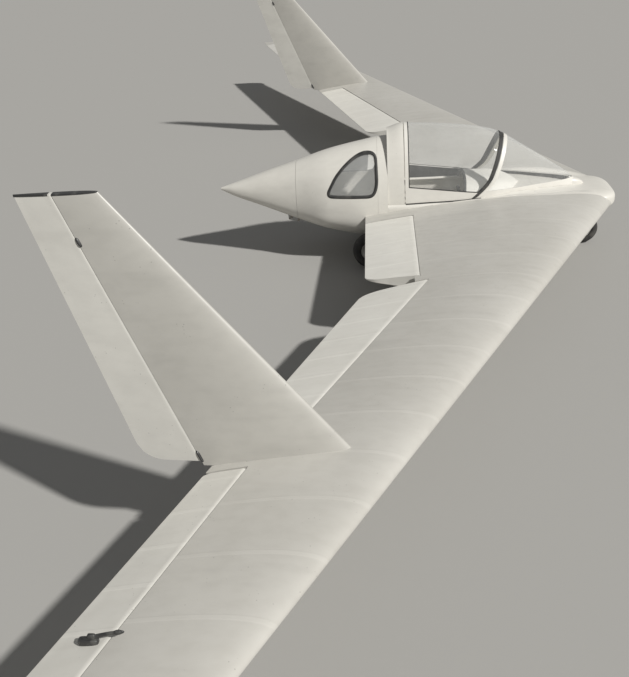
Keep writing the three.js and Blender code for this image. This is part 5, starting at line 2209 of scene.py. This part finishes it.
    def build(self, shop: Workshop) -> None:
        """Builds and dresses the cabin's fittings.

        Args:
            shop: maker of their objects.
        """
        pad = shop.add(
            "seat_pad", self.cushion(), CLOTH, replaces=["seat_cushion"], sharp=60, puff=(0.0, -0.6, 0.8)
        )
        block = soft_block((-0.094, 0.521, 0.3304), (0.094, 0.593, 0.469), 3.4, 26)
        rest = shop.add("head_pad", block, CLOTH, replaces=["headrest"], sharp=60, puff=(0.0, -0.95, 0.3))
        rings, faces, marks = self.dials()
        for name, mesh, look, replaces, sharp in (
            ("harness", self.harness(), WEBBING, [], 60),
            ("harness_metal", self.buckles(), STEEL, [], 50),
            ("dial_rings", rings, STEEL, [], 40),
            ("dial_faces", faces, DIAL, [], 40),
            ("dial_marks", marks, MARK, [], 40),
            ("stick_tube", self.stick(), STEEL, ["control_stick"], 50),
            ("stick_grip_pad", self.grip(), GRIP, [], 60),
        ):
            shop.add(name, mesh, look, replaces=replaces, sharp=sharp)
        shop.dress(CABIN, "seat_pan", "rear_bulkhead")
        shop.dress(PANEL, "instrument_panel")
        shop.dress(STEEL, "rudder_pedals")


# The studio


@dataclass(frozen=True)
class Studio:
    """Camera at the photograph's angle, floor and soft light."""

    place: tuple[float, float, float] = (-7.5596, 0.0289, 3.138)
    yaw: float = -0.0991
    pitch: float = 0.4947
    roll: float = -0.0723
    lens: float = 44.98
    sensor: float = 36.0
    reach: float = 400.0
    sun_from: tuple[float, float, float] = (-0.437, -0.601, 0.669)
    sun_distance: float = 12.0
    sun_energy: float = 3.75
    sun_angle: float = 2.5
    sun_colour: Colour = (1.0, 0.985, 0.955)
    surround: tuple[float, float, float, float] = (0.86, 0.87, 0.88, 1.0)
    surround_strength: float = 0.24
    floor_half: float = 380.0
    floor_colour: Colour = (0.385, 0.378, 0.36)

    def camera(self) -> None:
        """Places the camera by the yaw, pitch and roll found for the photograph."""
        cy, sy, cp, sp = (math.cos(self.yaw), math.sin(self.yaw), math.cos(self.pitch), math.sin(self.pitch))
        forward = np.array([cy * cp, -sy * cp, -sp])
        right = unit(np.cross(forward, (0.0, 0.0, 1.0)))
        up = np.cross(right, forward)
        c, s = math.cos(self.roll), math.sin(self.roll)
        across, rise = c * right + s * up, -s * right + c * up
        data = bpy.data.cameras.new("photo_camera")
        data.lens, data.sensor_width, data.clip_end = self.lens, self.sensor, self.reach
        made = self._stand("photo_camera", data)
        made.matrix_world = self._turn(across, rise, -forward, self.place)
        bpy.context.scene.camera = made

    def _stand(self, name: str, data: Any) -> bpy.types.Object:
        """Links a new object that holds the data.

        Args:
            name: its name.
            data: camera, light or mesh.

        Returns:
            The object.
        """
        made = bpy.data.objects.new(name, data)
        bpy.context.scene.collection.objects.link(made)
        return made

    def _turn(self, x: Array, y: Array, z: Array, place: Sequence[float]) -> Matrix:
        """Matrix of three axes and a place."""
        return Matrix([*np.column_stack([x, y, z, place]).tolist(), [0, 0, 0, 1]])

    def floor(self) -> None:
        """Plain pale floor, far wider than the craft."""
        data = bpy.data.meshes.new("studio_floor")
        signs = ((-1, -1), (1, -1), (1, 1), (-1, 1))
        corners = [(x * self.floor_half, y * self.floor_half, 0) for x, y in signs]
        data.from_pydata(corners, [], [(0, 1, 2, 3)])
        made = self._stand("studio_floor", data)
        plain = Finish("floor_paint", "skin")
        plain.set(Base_Color=self.floor_colour, Roughness=0.85)
        data.materials.append(plain.material)

    def light(self) -> None:
        """Soft sun from starboard ahead, and an even pale surround."""
        data = bpy.data.lights.new("studio_sun", "SUN")
        data.energy, data.angle = self.sun_energy, math.radians(self.sun_angle)
        data.color = self.sun_colour
        z = unit(np.array(self.sun_from))
        x = unit(np.cross((0.0, 0.0, 1.0), z))
        self._stand("studio_sun", data).matrix_world = self._turn(x, np.cross(z, x), z, self.sun_distance * z)
        world = bpy.data.worlds.new("studio_surround")
        world.use_nodes = True
        back = world.node_tree.nodes["Background"]
        back.inputs[0].default_value = self.surround
        back.inputs[1].default_value = self.surround_strength
        bpy.context.scene.world = world
        view = bpy.context.scene.view_settings
        view.view_transform = "Standard"
        view.look = "None"

    def build(self) -> None:
        """Sets up camera, floor and light."""
        self.camera()
        self.floor()
        self.light()


def main() -> None:
    """Builds every sub-assembly in order."""
    logging.basicConfig(level=logging.INFO, format="%(name)s %(message)s")
    shop = Workshop()
    Studio().build()
    for side, word in SIDES:
        wing = Wing(side, word)
        wing.build(shop)
        Fin(side, word).build(shop)
        RootFairing(wing).build(shop)
    Pod().build(shop)
    Canopy().build(shop)
    Cockpit().build(shop)
    Wheel("nose_wheel", -1.262, 0.0, 0.140, 0.084).build(shop, PORT, "nose_wheel")
    for side, word in SIDES:
        Wheel(f"main_wheel_{word}", 0.690, 0.434, 0.170, 0.096).build(shop, side, f"main_wheel_{word}")
    shop.dress(STEEL, "nose_fork", "main_axle", "tail_skid", "tow_hook", "hood_hinge")


if __name__ == "__main__":
    main()
